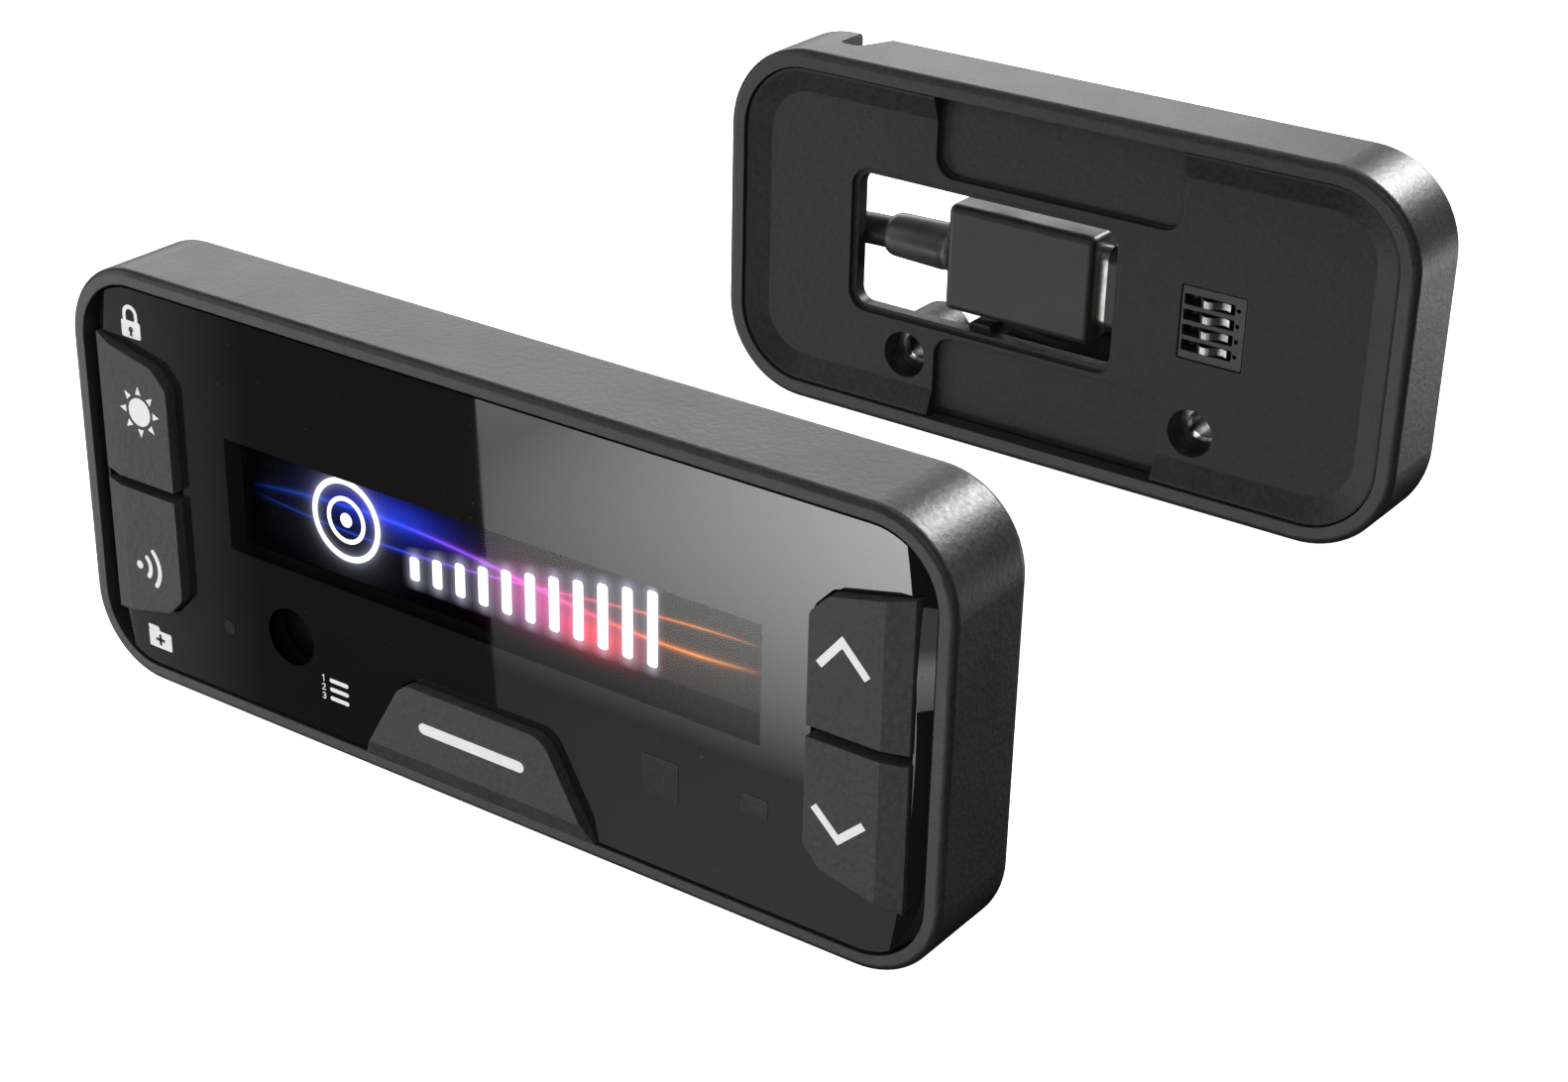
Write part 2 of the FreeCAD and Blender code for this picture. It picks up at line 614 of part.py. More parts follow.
def make_head_contacts():
    start = HEAD + d.board_y + d.board_thick
    length = HEAD + d.cover_y + d.cover_thick + d.plateau_proud - start
    pins = [rod(f"contact_pin_{i}", (d.contact_x, start, contact_z(i)), d.contact_r - 0.03, length)
            for i in range(4)]
    group("head_contacts", pins)
    magnets = [slab(f"magnet_{i}", (fixed(-8), HEAD + 6.0, MID + 11.2 * s - 2.2),
                    (fixed(16), fixed(1.95), fixed(4.4))) for i, s in enumerate((-1, 1))]
    group("head_magnets", magnets)
    screws = []
    back = HEAD + d.cover_y + d.cover_thick
    for i, (sx, sz) in enumerate(((-1, -1), (1, -1), (1, 1), (-1, 1))):
        x, z = d.post_x * sx, MID + d.post_z * sz
        shank = rod(f"cover_shank_{i}", (x, HEAD + 5.0, z), d.post_bore - 0.03, back - 0.3 - (HEAD + 5.0))
        cap = rod(f"cover_cap_{i}", (x, back - 0.68, z), fixed(1.35), fixed(0.6))
        socket = rod(f"cover_drive_{i}", (x, back - 0.4, z), fixed(0.55), fixed(0.5))
        whole = combine("Part::MultiFuse", f"cover_screw_{i}", shank, [cap])
        screws.append(combine("Part::Cut", f"cover_screw_cut_{i}", whole, [socket]))
    group("rear_cover_screws", screws)


# ---------------------------------------------------------------- dock

def make_dock_frame():
    body = new_body("dock_frame")

    def inset(amount):
        return lambda s: draw_round(s, ZERO, MID, d.dock_wide - amount * 2, d.dock_tall - amount * 2,
                                    d.dock_corner - amount)

    pad(body, "frame", inset(ZERO), DOCK, d.dock_deep)
    fillet(body, "frame_front_round", d.dock_round, at_y(DOCK))
    fillet(body, "frame_back_round", d.dock_round, at_y(DOCK + d.dock_deep))
    pocket(body, "plate_seat", inset(d.dock_rim), DOCK, d.ledge_y)
    pocket(body, "frame_cavity", inset(d.dock_wall), DOCK, d.dock_deep)
    half, deep = d.notch_wide / 2, DOCK + d.notch_y
    back = DOCK + d.dock_deep + 1
    notch = [(d.notch_x - half, back), (d.notch_x - half, deep),
             (d.notch_x, deep), (d.notch_x + half, back)]
    pocket(body, "cord_notches", lambda s: draw_poly(s, notch), fixed(-1), d.dock_tall + 2, "XY_Plane")
    fillet(body, "notch_round", fixed(0.9), lambda e, m: along(e, V(0, 0, 1))
           and abs(m.y - deep.value) < 0.01)
    return keep(body, "dock_frame")


def screw_circles(radius):
    def draw(sketch):
        for side in (-1, 1):
            draw_circle(sketch, d.screw_x * side, MID - d.screw_z, radius)
    return draw


def make_dock_plate():
    body = new_body("dock_plate")
    gap = d.dock_rim + d.plate_gap
    start = DOCK + d.plate_y
    back = DOCK + d.plate_back

    def inset(amount):
        return lambda s: draw_round(s, ZERO, MID, d.dock_wide - (gap + amount) * 2,
                                    d.dock_tall - (gap + amount) * 2, d.dock_corner - gap - amount)

    pad(body, "plate", inset(ZERO), start, back - start)
    rim = new_sketch(body, "slope_rim", "XZ_Plane", start)
    inset(fixed(0.25))(rim)
    floor = new_sketch(body, "slope_floor", "XZ_Plane", DOCK + d.floor_y)
    inset(d.slope_in)(floor)
    slope = body.newObject("PartDesign::SubtractiveLoft", "slope")
    slope.Profile = rim
    slope.Sections = [floor]
    slope.Ruled = True
    doc.recompute()
    edge = (d.dock_tall / 2 - gap + 0.2)
    for level, half, z_in, name in ((1, d.top_pocket_half, d.top_pocket_z, "top"),
                                    (-1, d.low_pocket_half, d.low_pocket_z, "low")):
        tall = edge + 3 - z_in
        middle = MID + (z_in + tall / 2) * level
        pocket(body, name + "_pocket", lambda s: draw_round(s, ZERO, middle, half * 2, tall,
               d.pocket_round), start, DOCK + d.pocket_y - start)
    step = d.window_step
    ledge = (d.window_x, MID, d.window_wide + step * 2, d.window_tall + step * 2, d.window_round + step)
    pocket(body, "window_ledge", lambda s: draw_round(s, *ledge), start,
           DOCK + d.floor_y + d.window_step_deep - start)
    pocket(body, "window", lambda s: draw_round(s, d.window_x, MID, d.window_wide, d.window_tall,
           d.window_round), start, back - start)
    block = (d.block_x + d.block_wide / 2, MID, d.block_wide + 0.2, d.block_tall + 0.2, fixed(0.2))
    pocket(body, "block_opening", lambda s: draw_round(s, *block), start, back - start)
    pad(body, "bosses", screw_circles(d.boss_r), back - 0.2, DOCK + d.boss_y - back + 0.2)
    pocket(body, "screw_sinks_front", screw_circles(d.sink_r), start, DOCK + d.sink_y - start)
    pocket(body, "ring_seats", screw_circles(d.ring_r), DOCK + d.sink_y - 0.1, d.ring_thick + 0.1)
    pocket(body, "screw_bores", screw_circles(d.screw_hole_r), start, DOCK + d.boss_y - start)

    def standoffs(sketch):
        for side in (-1, 1):
            draw_circle(sketch, d.board_screw_x, MID + d.board_screw_z * side, d.standoff_r)

    pad(body, "board_standoffs", standoffs, back - 0.2, DOCK + d.dock_board_y - back + 0.2)

    def clips(sketch):
        for reach, level in ((d.clip_in, 1), (d.clip_out, 1), (d.clip_in, -1)):
            middle = MID + (d.window_tall / 2 + (d.clip_hidden if level > 0 else d.clip_shown)) * level
            draw_round(sketch, d.plug_x + reach, middle, d.clip_wide, d.clip_tall, d.clip_round)

    pad(body, "plug_clips", clips, back - 0.5, d.clip_deep)
    return keep(body, "dock_plate")


def make_dock_parts():
    rings = []
    for i, side in enumerate((-1, 1)):
        base = (d.screw_x * side, DOCK + d.sink_y, MID - d.screw_z)
        outer = rod(f"ring_outer_{i}", base, d.ring_r - 0.02, d.ring_thick)
        hole = rod(f"ring_hole_{i}", (base[0], base[1] - 0.1, base[2]), d.screw_hole_r, d.ring_thick + 0.2)
        rings.append(combine("Part::Cut", f"ring_{i}", outer, [hole]))
    group("screw_rings", rings)
    keeper_size = (d.keeper_wide, d.keeper_thick, d.keeper_tall)
    keepers = []
    for i, level in enumerate((-1, 1)):
        low = MID + d.keeper_z * level - d.keeper_tall / 2
        keepers.append(slab(f"keeper_{i}", (-d.keeper_wide / 2, DOCK + d.plate_back, low), keeper_size))
    group("dock_keepers", keepers)
    board = new_body("dock_board")
    start = DOCK + d.dock_board_y
    middle = d.dock_board_x + d.dock_board_wide / 2
    pad(board, "dock_board_pad", lambda s: draw_round(s, middle, MID, d.dock_board_wide, d.dock_board_tall,
        fixed(0.8)), start, d.board_thick)

    def holes(sketch):
        for side in (-1, 1):
            draw_circle(sketch, d.board_screw_x, MID + d.board_screw_z * side, d.board_screw_r)

    pocket(board, "dock_board_holes", holes, start, d.board_thick)
    keep(board, "dock_board")
    screws = []
    for i, side in enumerate((-1, 1)):
        place = (d.board_screw_x, start + d.board_thick, MID + d.board_screw_z * side)
        screws.append(rod(f"board_screw_cap_{i}", place, d.board_screw_cap, d.board_cap_thick))
    group("dock_board_screws", screws)


def make_contact_block():
    body = new_body("contact_block")
    x = d.block_x + d.block_wide / 2
    start = DOCK + d.block_y
    pad(body, "block", lambda s: draw_round(s, x, MID, d.block_wide, d.block_tall, fixed(0.2)),
        start, DOCK + d.block_back - start)

    def slots(sketch):
        for i in range(4):
            draw_round(sketch, d.block_x + 2.85, contact_z(i), fixed(5.2), d.slot_wide, fixed(0.15))

    def dimples(sketch):
        for i in range(4):
            draw_circle(sketch, d.block_x + 5.8, contact_z(i), fixed(0.2))

    pocket(body, "spring_slots", slots, start, d.slot_floor - d.block_y)
    pocket(body, "key_holes", dimples, start, fixed(0.8))
    return keep(body, "contact_block")


def spring_profile():
    """Front line of a contact leaf in X and Y: foot, rise, rounded nose, fall and lifted tip."""
    x, y = d.block_x.value, DOCK.value
    low, high = y + 2.5, y + d.nose_y.value
    corners = [V(x + 0.5, low, 0), V(x + 1.2, low, 0), V(x + 2.6, high - 0.25, 0),
               V(x + 4.2, high + 1.0, 0), V(x + 4.9, high + 0.75, 0)]
    return Part.Wire(rounded_path(corners)[0])


def make_contact_springs():
    line = spring_profile()
    face = line.makeOffset2D(-d.spring_thick.value, 0, True, True)
    for i in range(4):
        leaf = doc.addObject("Part::Feature", f"contact_spring_{i + 1}")
        leaf.Shape = face.extrude(V(0, 0, d.spring_wide.value))
        leaf.Placement.Base = V(0, 0, contact_z(i).value - d.spring_wide.value / 2)
        keep(leaf, f"contact_spring_{i + 1}")


# ---------------------------------------------------------------- plug, socket and cord

def make_plug(prefix, x, y, z, way, flat):
    """USB plug at the cord end x of its overmould; its tip points along way times +X."""
    wide, tall = (d.plug_tall, d.plug_thick) if flat else (d.plug_thick, d.plug_tall)
    tip_wide, tip_tall = (d.tip_tall, d.tip_thick) if flat else (d.tip_thick, d.tip_tall)
    body = new_body(prefix + "_body")
    low = x if way > 0 else x - d.plug_long
    pad(body, prefix + "_block", lambda s: draw_round(s, y, z, wide, tall, d.plug_round),
        low, d.plug_long, "YZ_Plane")
    fillet(body, prefix + "_edges", d.plug_round * 0.8, lambda e, m: abs(m.x - number(low)) < 0.01
           or abs(m.x - number(low + d.plug_long)) < 0.01)
    keep(body, prefix + "_body")
    tip = new_body(prefix + "_tip")
    start = low + d.plug_long if way > 0 else low - d.tip_long
    half = d.tip_thick / 2 - 0.02
    pad(tip, prefix + "_shell", lambda s: draw_round(s, y, z, tip_wide, tip_tall, half),
        start, d.tip_long, "YZ_Plane")
    inner = (y, z, tip_wide - 0.6, tip_tall - 0.6, half - 0.3)
    mouth = start + 0.8 if way > 0 else start
    pocket(tip, prefix + "_mouth", lambda s: draw_round(s, *inner), mouth, d.tip_long - 0.8, "YZ_Plane")
    keep(tip, prefix + "_tip")
    if way > 0:
        rod(prefix + "_relief", (x - d.relief_long, y, z), d.relief_r1, d.relief_long, "x",
            prefix + "_relief", tip=d.relief_r2)
    else:
        rod(prefix + "_relief", (x, y, z), d.relief_r2, d.relief_long, "x",
            prefix + "_relief", tip=d.relief_r1)


def make_socket(y):
    body = new_body("usb_socket")
    half = d.socket_thick / 2 - 0.02
    pad(body, "socket_shell", lambda s: draw_round(s, y, MID, d.socket_thick, d.socket_tall, half),
        d.socket_x, d.socket_long, "YZ_Plane")
    wall = d.socket_wall
    pocket(body, "socket_mouth", lambda s: draw_round(s, y, MID, d.socket_thick - wall * 2,
           d.socket_tall - wall * 2, half - wall), d.socket_x, d.socket_long - 0.9, "YZ_Plane")
    keep(body, "usb_socket")


# Route of the cord from the strain relief, down behind the dock and along the floor to the coil.
ROUTE = [
    (-20.15, 42.05, 18.175), (-27.3, 42.05, 18.175), (-33.1, 45.2, 13.3), (-33.1, 49.7, 6.5),
    (-27.3, 52.85, 1.6), (-18.5, 52.3, 1.6), (-10.0, 51.1, 1.7), (-2.0, 50.95, 2.0),
]
# Route from the coil's last turn up to the far plug that lies on it.
TAIL = [(19.4, 72.35, 11.6), (19.4, 76.3, 13.4), (14.2, 81.85, 15.9), (9.9, 81.85, 15.9)]


def rounded_path(points):
    """Straight runs joined by tangent arcs, each as large as its two runs allow."""
    edges, radii = [], []
    start = points[0]
    for before, corner, after in zip(points, points[1:], points[2:]):
        back, ahead = before - corner, after - corner
        cut = 0.45 * min(back.Length, ahead.Length)
        back.normalize()
        ahead.normalize()
        turn = math.pi - math.acos(max(-1, min(1, back.dot(ahead))))
        radius = cut / math.tan(turn / 2)
        middle = back + ahead
        middle.normalize()
        rise = radius / math.cos(turn / 2) - radius
        first, last = corner + back * cut, corner + ahead * cut
        edges.append(Part.LineSegment(start, first).toShape())
        edges.append(Part.Arc(first, corner + middle * rise, last).toShape())
        radii.append(radius)
        start = last
    edges.append(Part.LineSegment(start, points[-1]).toShape())
    return edges, radii


def make_tube(node, points):
    """A plain round tube along a route; its volume is compared with section times length."""
    edges, radii = rounded_path([V(*p) for p in points])
    path = Part.Wire(edges)
    radius = d.cord_dia.value / 2
    first = edges[0]
    ring = Part.Circle(first.Vertexes[0].Point, first.tangentAt(first.FirstParameter), radius)
    solid = path.makePipeShell([Part.Wire([ring.toShape()])], True, True)
    expected = math.pi * radius ** 2 * path.Length
    if abs(solid.Volume / expected - 1) > 0.01:
        raise RuntimeError(f"{node}: volume {solid.Volume:.1f} is not {expected:.1f}")
    print(node, f"length {path.Length:.1f} mm, radii", [round(r, 1) for r in radii])
    item = doc.addObject("Part::Feature", node)
    item.Shape = solid
    keep(item, node)


def make_cord():
    make_tube("cable_tube", ROUTE)
    make_tube("cable_tail", TAIL)
    centre_y = DOCK + d.coil_back
    radius = d.cord_dia / 2
    inner = d.coil_r - d.cord_dia * (d.coil_columns - 1) - radius
    tall = d.cord_dia * d.coil_layers
    base = (d.coil_x, centre_y, d.tie_thick)
    outer = rod("coil_outer", base, d.coil_r + radius, tall, "z")
    hole = rod("coil_hole", (d.coil_x, centre_y, d.tie_thick - 1), inner, tall + 2, "z")
    combine("Part::Cut", "cable_coil", outer, [hole], "cable_coil")
    wide = d.coil_r + radius - inner
    left = d.coil_x - d.coil_r - radius
    around = slab("tie_outer", (left - d.tie_thick, centre_y - d.tie_wide / 2, ZERO),
                  (wide + d.tie_thick * 2, d.tie_wide, tall + d.tie_thick * 2))
    through = slab("tie_inner", (left, centre_y - d.tie_wide, d.tie_thick), (wide, d.tie_wide * 2, tall))
    combine("Part::Cut", "coil_tie", around, [through], "coil_tie")


def make_all():
    make_head_housing()
    make_front_lens()
    for node, side, level in (("brightness_key", -1, 1), ("sound_key", -1, -1),
                              ("up_key", 1, 1), ("down_key", 1, -1)):
        make_side_key(node, side, level)
    make_centre_key()
    make_bezel()
    make_screen()
    make_board()
    make_board_parts()
    make_rear_cover()
    make_head_contacts()
    make_dock_frame()
    make_dock_plate()
    make_dock_parts()
    make_contact_block()
    make_contact_springs()
    plug_y = DOCK + d.plug_y + d.plug_thick / 2
    make_plug("plug", d.plug_x, plug_y, MID, 1, False)
    make_socket(plug_y)
    make_cord()
    rest = d.tie_thick + d.cord_dia * d.coil_layers + d.plug_thick / 2
    make_plug("far_plug", fixed(TAIL[-1][0]) - d.relief_long, fixed(TAIL[-1][1]), rest, -1, True)


def check_and_write():
    doc.recompute()
    for item in doc.Objects:
        if "Invalid" in item.State or "Error" in item.State:
            raise RuntimeError(f"{item.Label} failed: {item.State}")
    os.makedirs("parts", exist_ok=True)
    for node, item in NODES.items():
        shape = item.Shape
        if shape.isNull() or not shape.isValid():
            raise RuntimeError(f"{node} has no valid shape")
        box = shape.optimalBoundingBox(False)
        print(f"{node:20s} {len(shape.Solids)} solids {shape.Volume:9.2f} mm3",
              f"x {box.XMin:.2f}..{box.XMax:.2f}", f"y {box.YMin:.2f}..{box.YMax:.2f}",
              f"z {box.ZMin:.2f}..{box.ZMax:.2f}")
        shape.exportStep(f"parts/{node}.step")


make_all()
check_and_write()
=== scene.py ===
# Radar detector: the looks of the display head, its wall dock and the lead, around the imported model.
# Metres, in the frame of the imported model: X across the display, Y from the viewer to the wall, Z up.
import math
import random

import bmesh
import bpy
from mathutils import Matrix, Vector


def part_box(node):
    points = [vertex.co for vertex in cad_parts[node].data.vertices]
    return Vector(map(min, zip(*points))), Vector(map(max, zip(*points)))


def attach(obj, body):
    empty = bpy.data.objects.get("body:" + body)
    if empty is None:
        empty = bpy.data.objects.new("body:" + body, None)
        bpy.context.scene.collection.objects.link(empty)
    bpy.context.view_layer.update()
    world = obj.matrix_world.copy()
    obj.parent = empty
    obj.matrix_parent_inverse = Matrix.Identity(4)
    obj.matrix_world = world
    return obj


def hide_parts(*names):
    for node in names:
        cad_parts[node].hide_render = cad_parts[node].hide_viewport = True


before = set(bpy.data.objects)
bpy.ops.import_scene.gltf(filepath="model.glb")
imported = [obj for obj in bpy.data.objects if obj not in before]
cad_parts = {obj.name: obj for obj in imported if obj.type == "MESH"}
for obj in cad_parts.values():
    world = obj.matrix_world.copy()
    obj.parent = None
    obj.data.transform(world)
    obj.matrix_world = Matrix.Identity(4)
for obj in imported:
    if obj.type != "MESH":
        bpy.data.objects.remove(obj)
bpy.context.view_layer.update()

SEED = 5
AMBIENT = 0.35
MM = 0.001
scene = bpy.context.scene

HEAD_LOW, HEAD_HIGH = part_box("head_housing")
MID_Z = (HEAD_LOW.z + HEAD_HIGH.z) / 2
LENS_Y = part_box("front_lens")[0].y
KEY_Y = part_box("up_key")[0].y
BEZEL_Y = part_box("inner_bezel")[0].y
SCREEN_LOW, SCREEN_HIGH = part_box("oled_screen")
SCREEN_X = (SCREEN_LOW.x + SCREEN_HIGH.x) / 2
SCREEN_Z = (SCREEN_LOW.z + SCREEN_HIGH.z) / 2

# Sizes and places on the front, in millimetres from the middle of the head; the bars and the target
# count from the middle of the screen.
INK = 0.03 * MM
WINDOW_HALF = (26.0, 4.8)
SENSOR_AT, SENSOR_R = (-19.5, -9.2), 2.45
PORT_AT, PORT_R = (-26.4, -10.5), 0.6
HIDDEN_WINDOWS = (((17.5, -9.0), 3.4, 3.4), ((26.0, -8.3), 2.4, 1.6))
LOCK_AT = (-35.15, 13.2)
FOLDER_AT = (-34.8, -14.35)
LIST_X, LIST_ROWS = -16.15, (-11.75, -12.55, -13.35)
SUN_AT = (-34.0, 6.7)
SOUND_AT = (-35.5, -7.2)
DASH_HALF, DASH_Z = 4.8, -12.15
TARGET_X, TARGET_Z, TARGET_R = -15.0, 0.2, 3.3
BAR_COUNT, BAR_PITCH, BAR_WIDE = 11, 2.3, 0.95
BAR_START, BAR_FOOT = 7.0, -3.1
BAR_LOW, BAR_RISE = 2.0, 0.42


# ---------------------------------------------------------------- camera

def make_camera():
    """The photograph's viewpoint; right and up are the picture's own directions in the frame."""
    data = bpy.data.cameras.new("camera")
    data.sensor_width, data.lens = 36.0, 67.29
    data.shift_x, data.shift_y = 0.0474, 0.0632
    data.clip_start, data.clip_end = 0.01, 50.0
    camera = bpy.data.objects.new("camera", data)
    scene.collection.objects.link(camera)
    right = Vector((0.80226, 0.59689, 0.00992)).normalized()
    up = Vector((-0.28375, 0.36665, 0.88603)).normalized()
    back = right.cross(up).normalized()
    up = back.cross(right)
    turn = Matrix((right, up, back)).transposed().to_4x4()
    camera.matrix_world = Matrix.Translation((0.12999, -0.19211, 0.11735)) @ turn
    scene.camera = camera


# ---------------------------------------------------------------- materials: building blocks

class Shade:
    """A node material put together around one Principled shader, in object coordinates."""

    def __init__(self, name):
        self.material = bpy.data.materials.new(name)
        self.material.use_nodes = True
        self.tree = self.material.node_tree
        self.tree.nodes.clear()
        self.out = self.add("ShaderNodeOutputMaterial")
        self.shader = self.add("ShaderNodeBsdfPrincipled")
        self.tree.links.new(self.shader.outputs[0], self.out.inputs["Surface"])
        self.place = self.add("ShaderNodeTexCoord").outputs["Object"]

    def add(self, kind, **settings):
        node = self.tree.nodes.new(kind)
        for key, value in settings.items():
            setattr(node, key, value)
        return node

    def feed(self, socket, value):
        """Link a socket, or set its own value if value is a number or a colour."""
        if isinstance(value, bpy.types.NodeSocket):
            self.tree.links.new(value, socket)
        elif isinstance(value, (tuple, list)) and len(socket.default_value) == 4:
            socket.default_value = (*value[:3], 1.0)
        else:
            socket.default_value = value

    def set(self, **values):
        for key, value in values.items():
            self.feed(self.shader.inputs[key.replace("_", " ")], value)
        return self

    def math(self, kind, *values):
        node = self.add("ShaderNodeMath", operation=kind)
        for socket, value in zip(node.inputs, values):
            self.feed(socket, value)
        return node.outputs[0]

    def spread(self, value, low, high, start=0.0, end=1.0):
        """value from start..end mapped to low..high."""
        node = self.add("ShaderNodeMapRange", clamp=True)
        for socket, item in zip(node.inputs, (value, start, end, low, high)):
            self.feed(socket, item)
        return node.outputs[0]

    def mix(self, share, first, second, kind="MIX"):
        node = self.add("ShaderNodeMix", data_type="RGBA", blend_type=kind)
        self.feed(node.inputs[0], share)
        self.feed(node.inputs[6], first)
        self.feed(node.inputs[7], second)
        return node.outputs[2]

    def ramp(self, value, stops):
        node = self.add("ShaderNodeValToRGB")
        marks = node.color_ramp.elements
        while len(marks) < len(stops):
            marks.new(0.5)
        for mark, (at, colour) in zip(marks, stops):
            mark.position = at
            mark.color = (*colour, 1.0)
        self.feed(node.inputs[0], value)
        return node.outputs[0]

    def stretched(self, scale):
        """Object coordinates stretched by a factor along each axis."""
        node = self.add("ShaderNodeMapping")
        self.feed(node.inputs["Vector"], self.place)
        node.inputs["Scale"].default_value = scale
        return node.outputs[0]

    def noise(self, scale, detail=3.0, rough=0.5, place=None):
        node = self.add("ShaderNodeTexNoise")
        self.feed(node.inputs["Vector"], place or self.place)
        for key, value in (("Scale", scale), ("Detail", detail), ("Roughness", rough)):
            node.inputs[key].default_value = value
        return node.outputs["Fac"]

    def cells(self, scale, feature="F1"):
        node = self.add("ShaderNodeTexVoronoi", feature=feature)
        self.feed(node.inputs["Vector"], self.place)
        node.inputs["Scale"].default_value = scale
        return node.outputs["Distance"]

    def axis(self, name):
        """One coordinate of the place, in millimetres."""
        node = self.add("ShaderNodeSeparateXYZ")
        self.feed(node.inputs[0], self.place)
        return self.math("MULTIPLY", node.outputs[name], 1 / MM)

    def soft_edges(self, radius):
        """The normal with every edge rounded by radius, and a mask that is 1 on those edges."""
        bevel = self.add("ShaderNodeBevel", samples=4)
        bevel.inputs["Radius"].default_value = radius
        plain = self.add("ShaderNodeNewGeometry").outputs["True Normal"]
        dot = self.add("ShaderNodeVectorMath", operation="DOT_PRODUCT")
        self.feed(dot.inputs[0], bevel.outputs[0])
        self.feed(dot.inputs[1], plain)
        mask = self.spread(dot.outputs["Value"], 1.0, 0.0, 0.75, 0.985)
        return bevel.outputs[0], mask

    def bump(self, height, depth, normal=None):
        """Relief of a height map, over the plain or the rounded normal."""
        node = self.add("ShaderNodeBump")
        node.inputs["Strength"].default_value = 1.0
        node.inputs["Distance"].default_value = depth
        self.feed(node.inputs["Height"], height)
        if normal is not None:
            self.feed(node.inputs["Normal"], normal)
        self.feed(self.shader.inputs["Normal"], node.outputs[0])


def grey(value, warm=0.0):
    """A grey, a little warmer or, below zero, cooler."""
    return (value * (1 + warm), value, value * (1 - warm))


# ---------------------------------------------------------------- materials: plastics

def moulded(name, shade, rough, grain=4200.0, depth=0.03, round_to=0.12, edge_highlight=0.5, scuffs=0.06, gloss=0.5):
    """Textured injection-moulded plastic: fine grain, cloudy tone, edges lightened by painted highlight, and
    light scuffs.
    """
    s = Shade(name)
    fine = s.noise(grain, 2.0, 0.6)
    cloud = s.noise(160.0, 4.0)
    pits = s.cells(grain * 0.55)
    scratch = s.noise(900.0, 3.0, 0.7, s.stretched((0.25, 1.0, 6.0)))
    normal, edge = s.soft_edges(round_to * MM)
    tone = s.mix(s.spread(cloud, 0.0, 1.0, 0.3, 0.7), grey(shade * 0.86), grey(shade * 1.14, 0.01))
    tone = s.mix(s.spread(fine, 0.0, 0.7, 0.35, 0.7), tone, grey(shade * 1.8))
    # Painted highlight: the colour is lightened along the rounded edges, in place of the light they catch.
    tone = s.mix(s.math("MULTIPLY", edge, edge_highlight), tone, grey(shade * 3.0, 0.01))
    rubbed = s.spread(scratch, 0.0, scuffs, 0.58, 0.78)
    level = s.math("ADD", s.spread(fine, rough - 0.10, rough + 0.10), s.spread(cloud, -0.04, 0.05))
    level = s.math("SUBTRACT", level, rubbed)
    level = s.math("SUBTRACT", level, s.math("MULTIPLY", edge, 0.10))
    height = s.math("ADD", s.math("MULTIPLY", fine, 0.7), s.math("MULTIPLY", pits, 0.5))
    s.set(Base_Color=tone, Roughness=level, IOR=1.5)
    s.bump(height, depth * MM, normal)
    s.shader.inputs["Specular IOR Level"].default_value = gloss
    return s.material


def satin(name, shade, rough, tint=0.0):
    """Smooth satin plastic or paint, with faint flow marks and specks of dust."""
    s = Shade(name)
    cloud = s.noise(260.0, 4.0)
    flow = s.noise(700.0, 2.0, 0.5, s.stretched((0.3, 1.0, 2.5)))
    dust = s.spread(s.noise(5200.0, 1.0), 0.0, 1.0, 0.71, 0.76)
    normal, edge = s.soft_edges(0.08 * MM)
    tone = s.mix(s.spread(cloud, 0.0, 1.0, 0.3, 0.7), grey(shade * 0.8, tint), grey(shade * 1.2, tint))
    tone = s.mix(s.math("MULTIPLY", dust, 0.25), tone, grey(0.12))
    # Painted highlight: the colour is lightened along the rounded edges.
    tone = s.mix(s.math("MULTIPLY", edge, 0.35), tone, grey(shade * 2.4))
    level = s.math("ADD", s.spread(flow, rough - 0.06, rough + 0.06), s.math("MULTIPLY", dust, 0.2))
    s.set(Base_Color=tone, Roughness=level, IOR=1.5)
    s.bump(flow, 0.008 * MM, normal)
    return s.material


def rubbery(name, shade, rough, rings=0.0):
    """Soft-touch overmould or cord jacket: dull, slightly mottled, with fine drawing lines."""
    s = Shade(name)
    fine = s.noise(5200.0, 2.0)
    cloud = s.noise(300.0, 4.0)
    lines = s.noise(1400.0, 2.0, 0.5, s.stretched((0.08, 1.0, 1.0)))
    normal, edge = s.soft_edges(0.2 * MM)
    tone = s.mix(s.spread(cloud, 0.0, 1.0, 0.3, 0.7), grey(shade * 0.8), grey(shade * 1.25, 0.015))
    # Painted highlight: the colour is lightened along the rounded edges.
    tone = s.mix(s.math("MULTIPLY", edge, 0.3), tone, grey(shade * 2.2))
    level = s.math("ADD", s.spread(cloud, rough - 0.08, rough + 0.08), s.spread(fine, -0.05, 0.05))
    height = s.math("ADD", s.math("MULTIPLY", fine, 0.6), s.math("MULTIPLY", lines, rings))
    s.set(Base_Color=tone, Roughness=level, IOR=1.5, Sheen_Weight=0.05, Sheen_Roughness=0.5)
    s.bump(height, 0.02 * MM, normal)
    return s.material


# ---------------------------------------------------------------- materials: lens, screen, prints

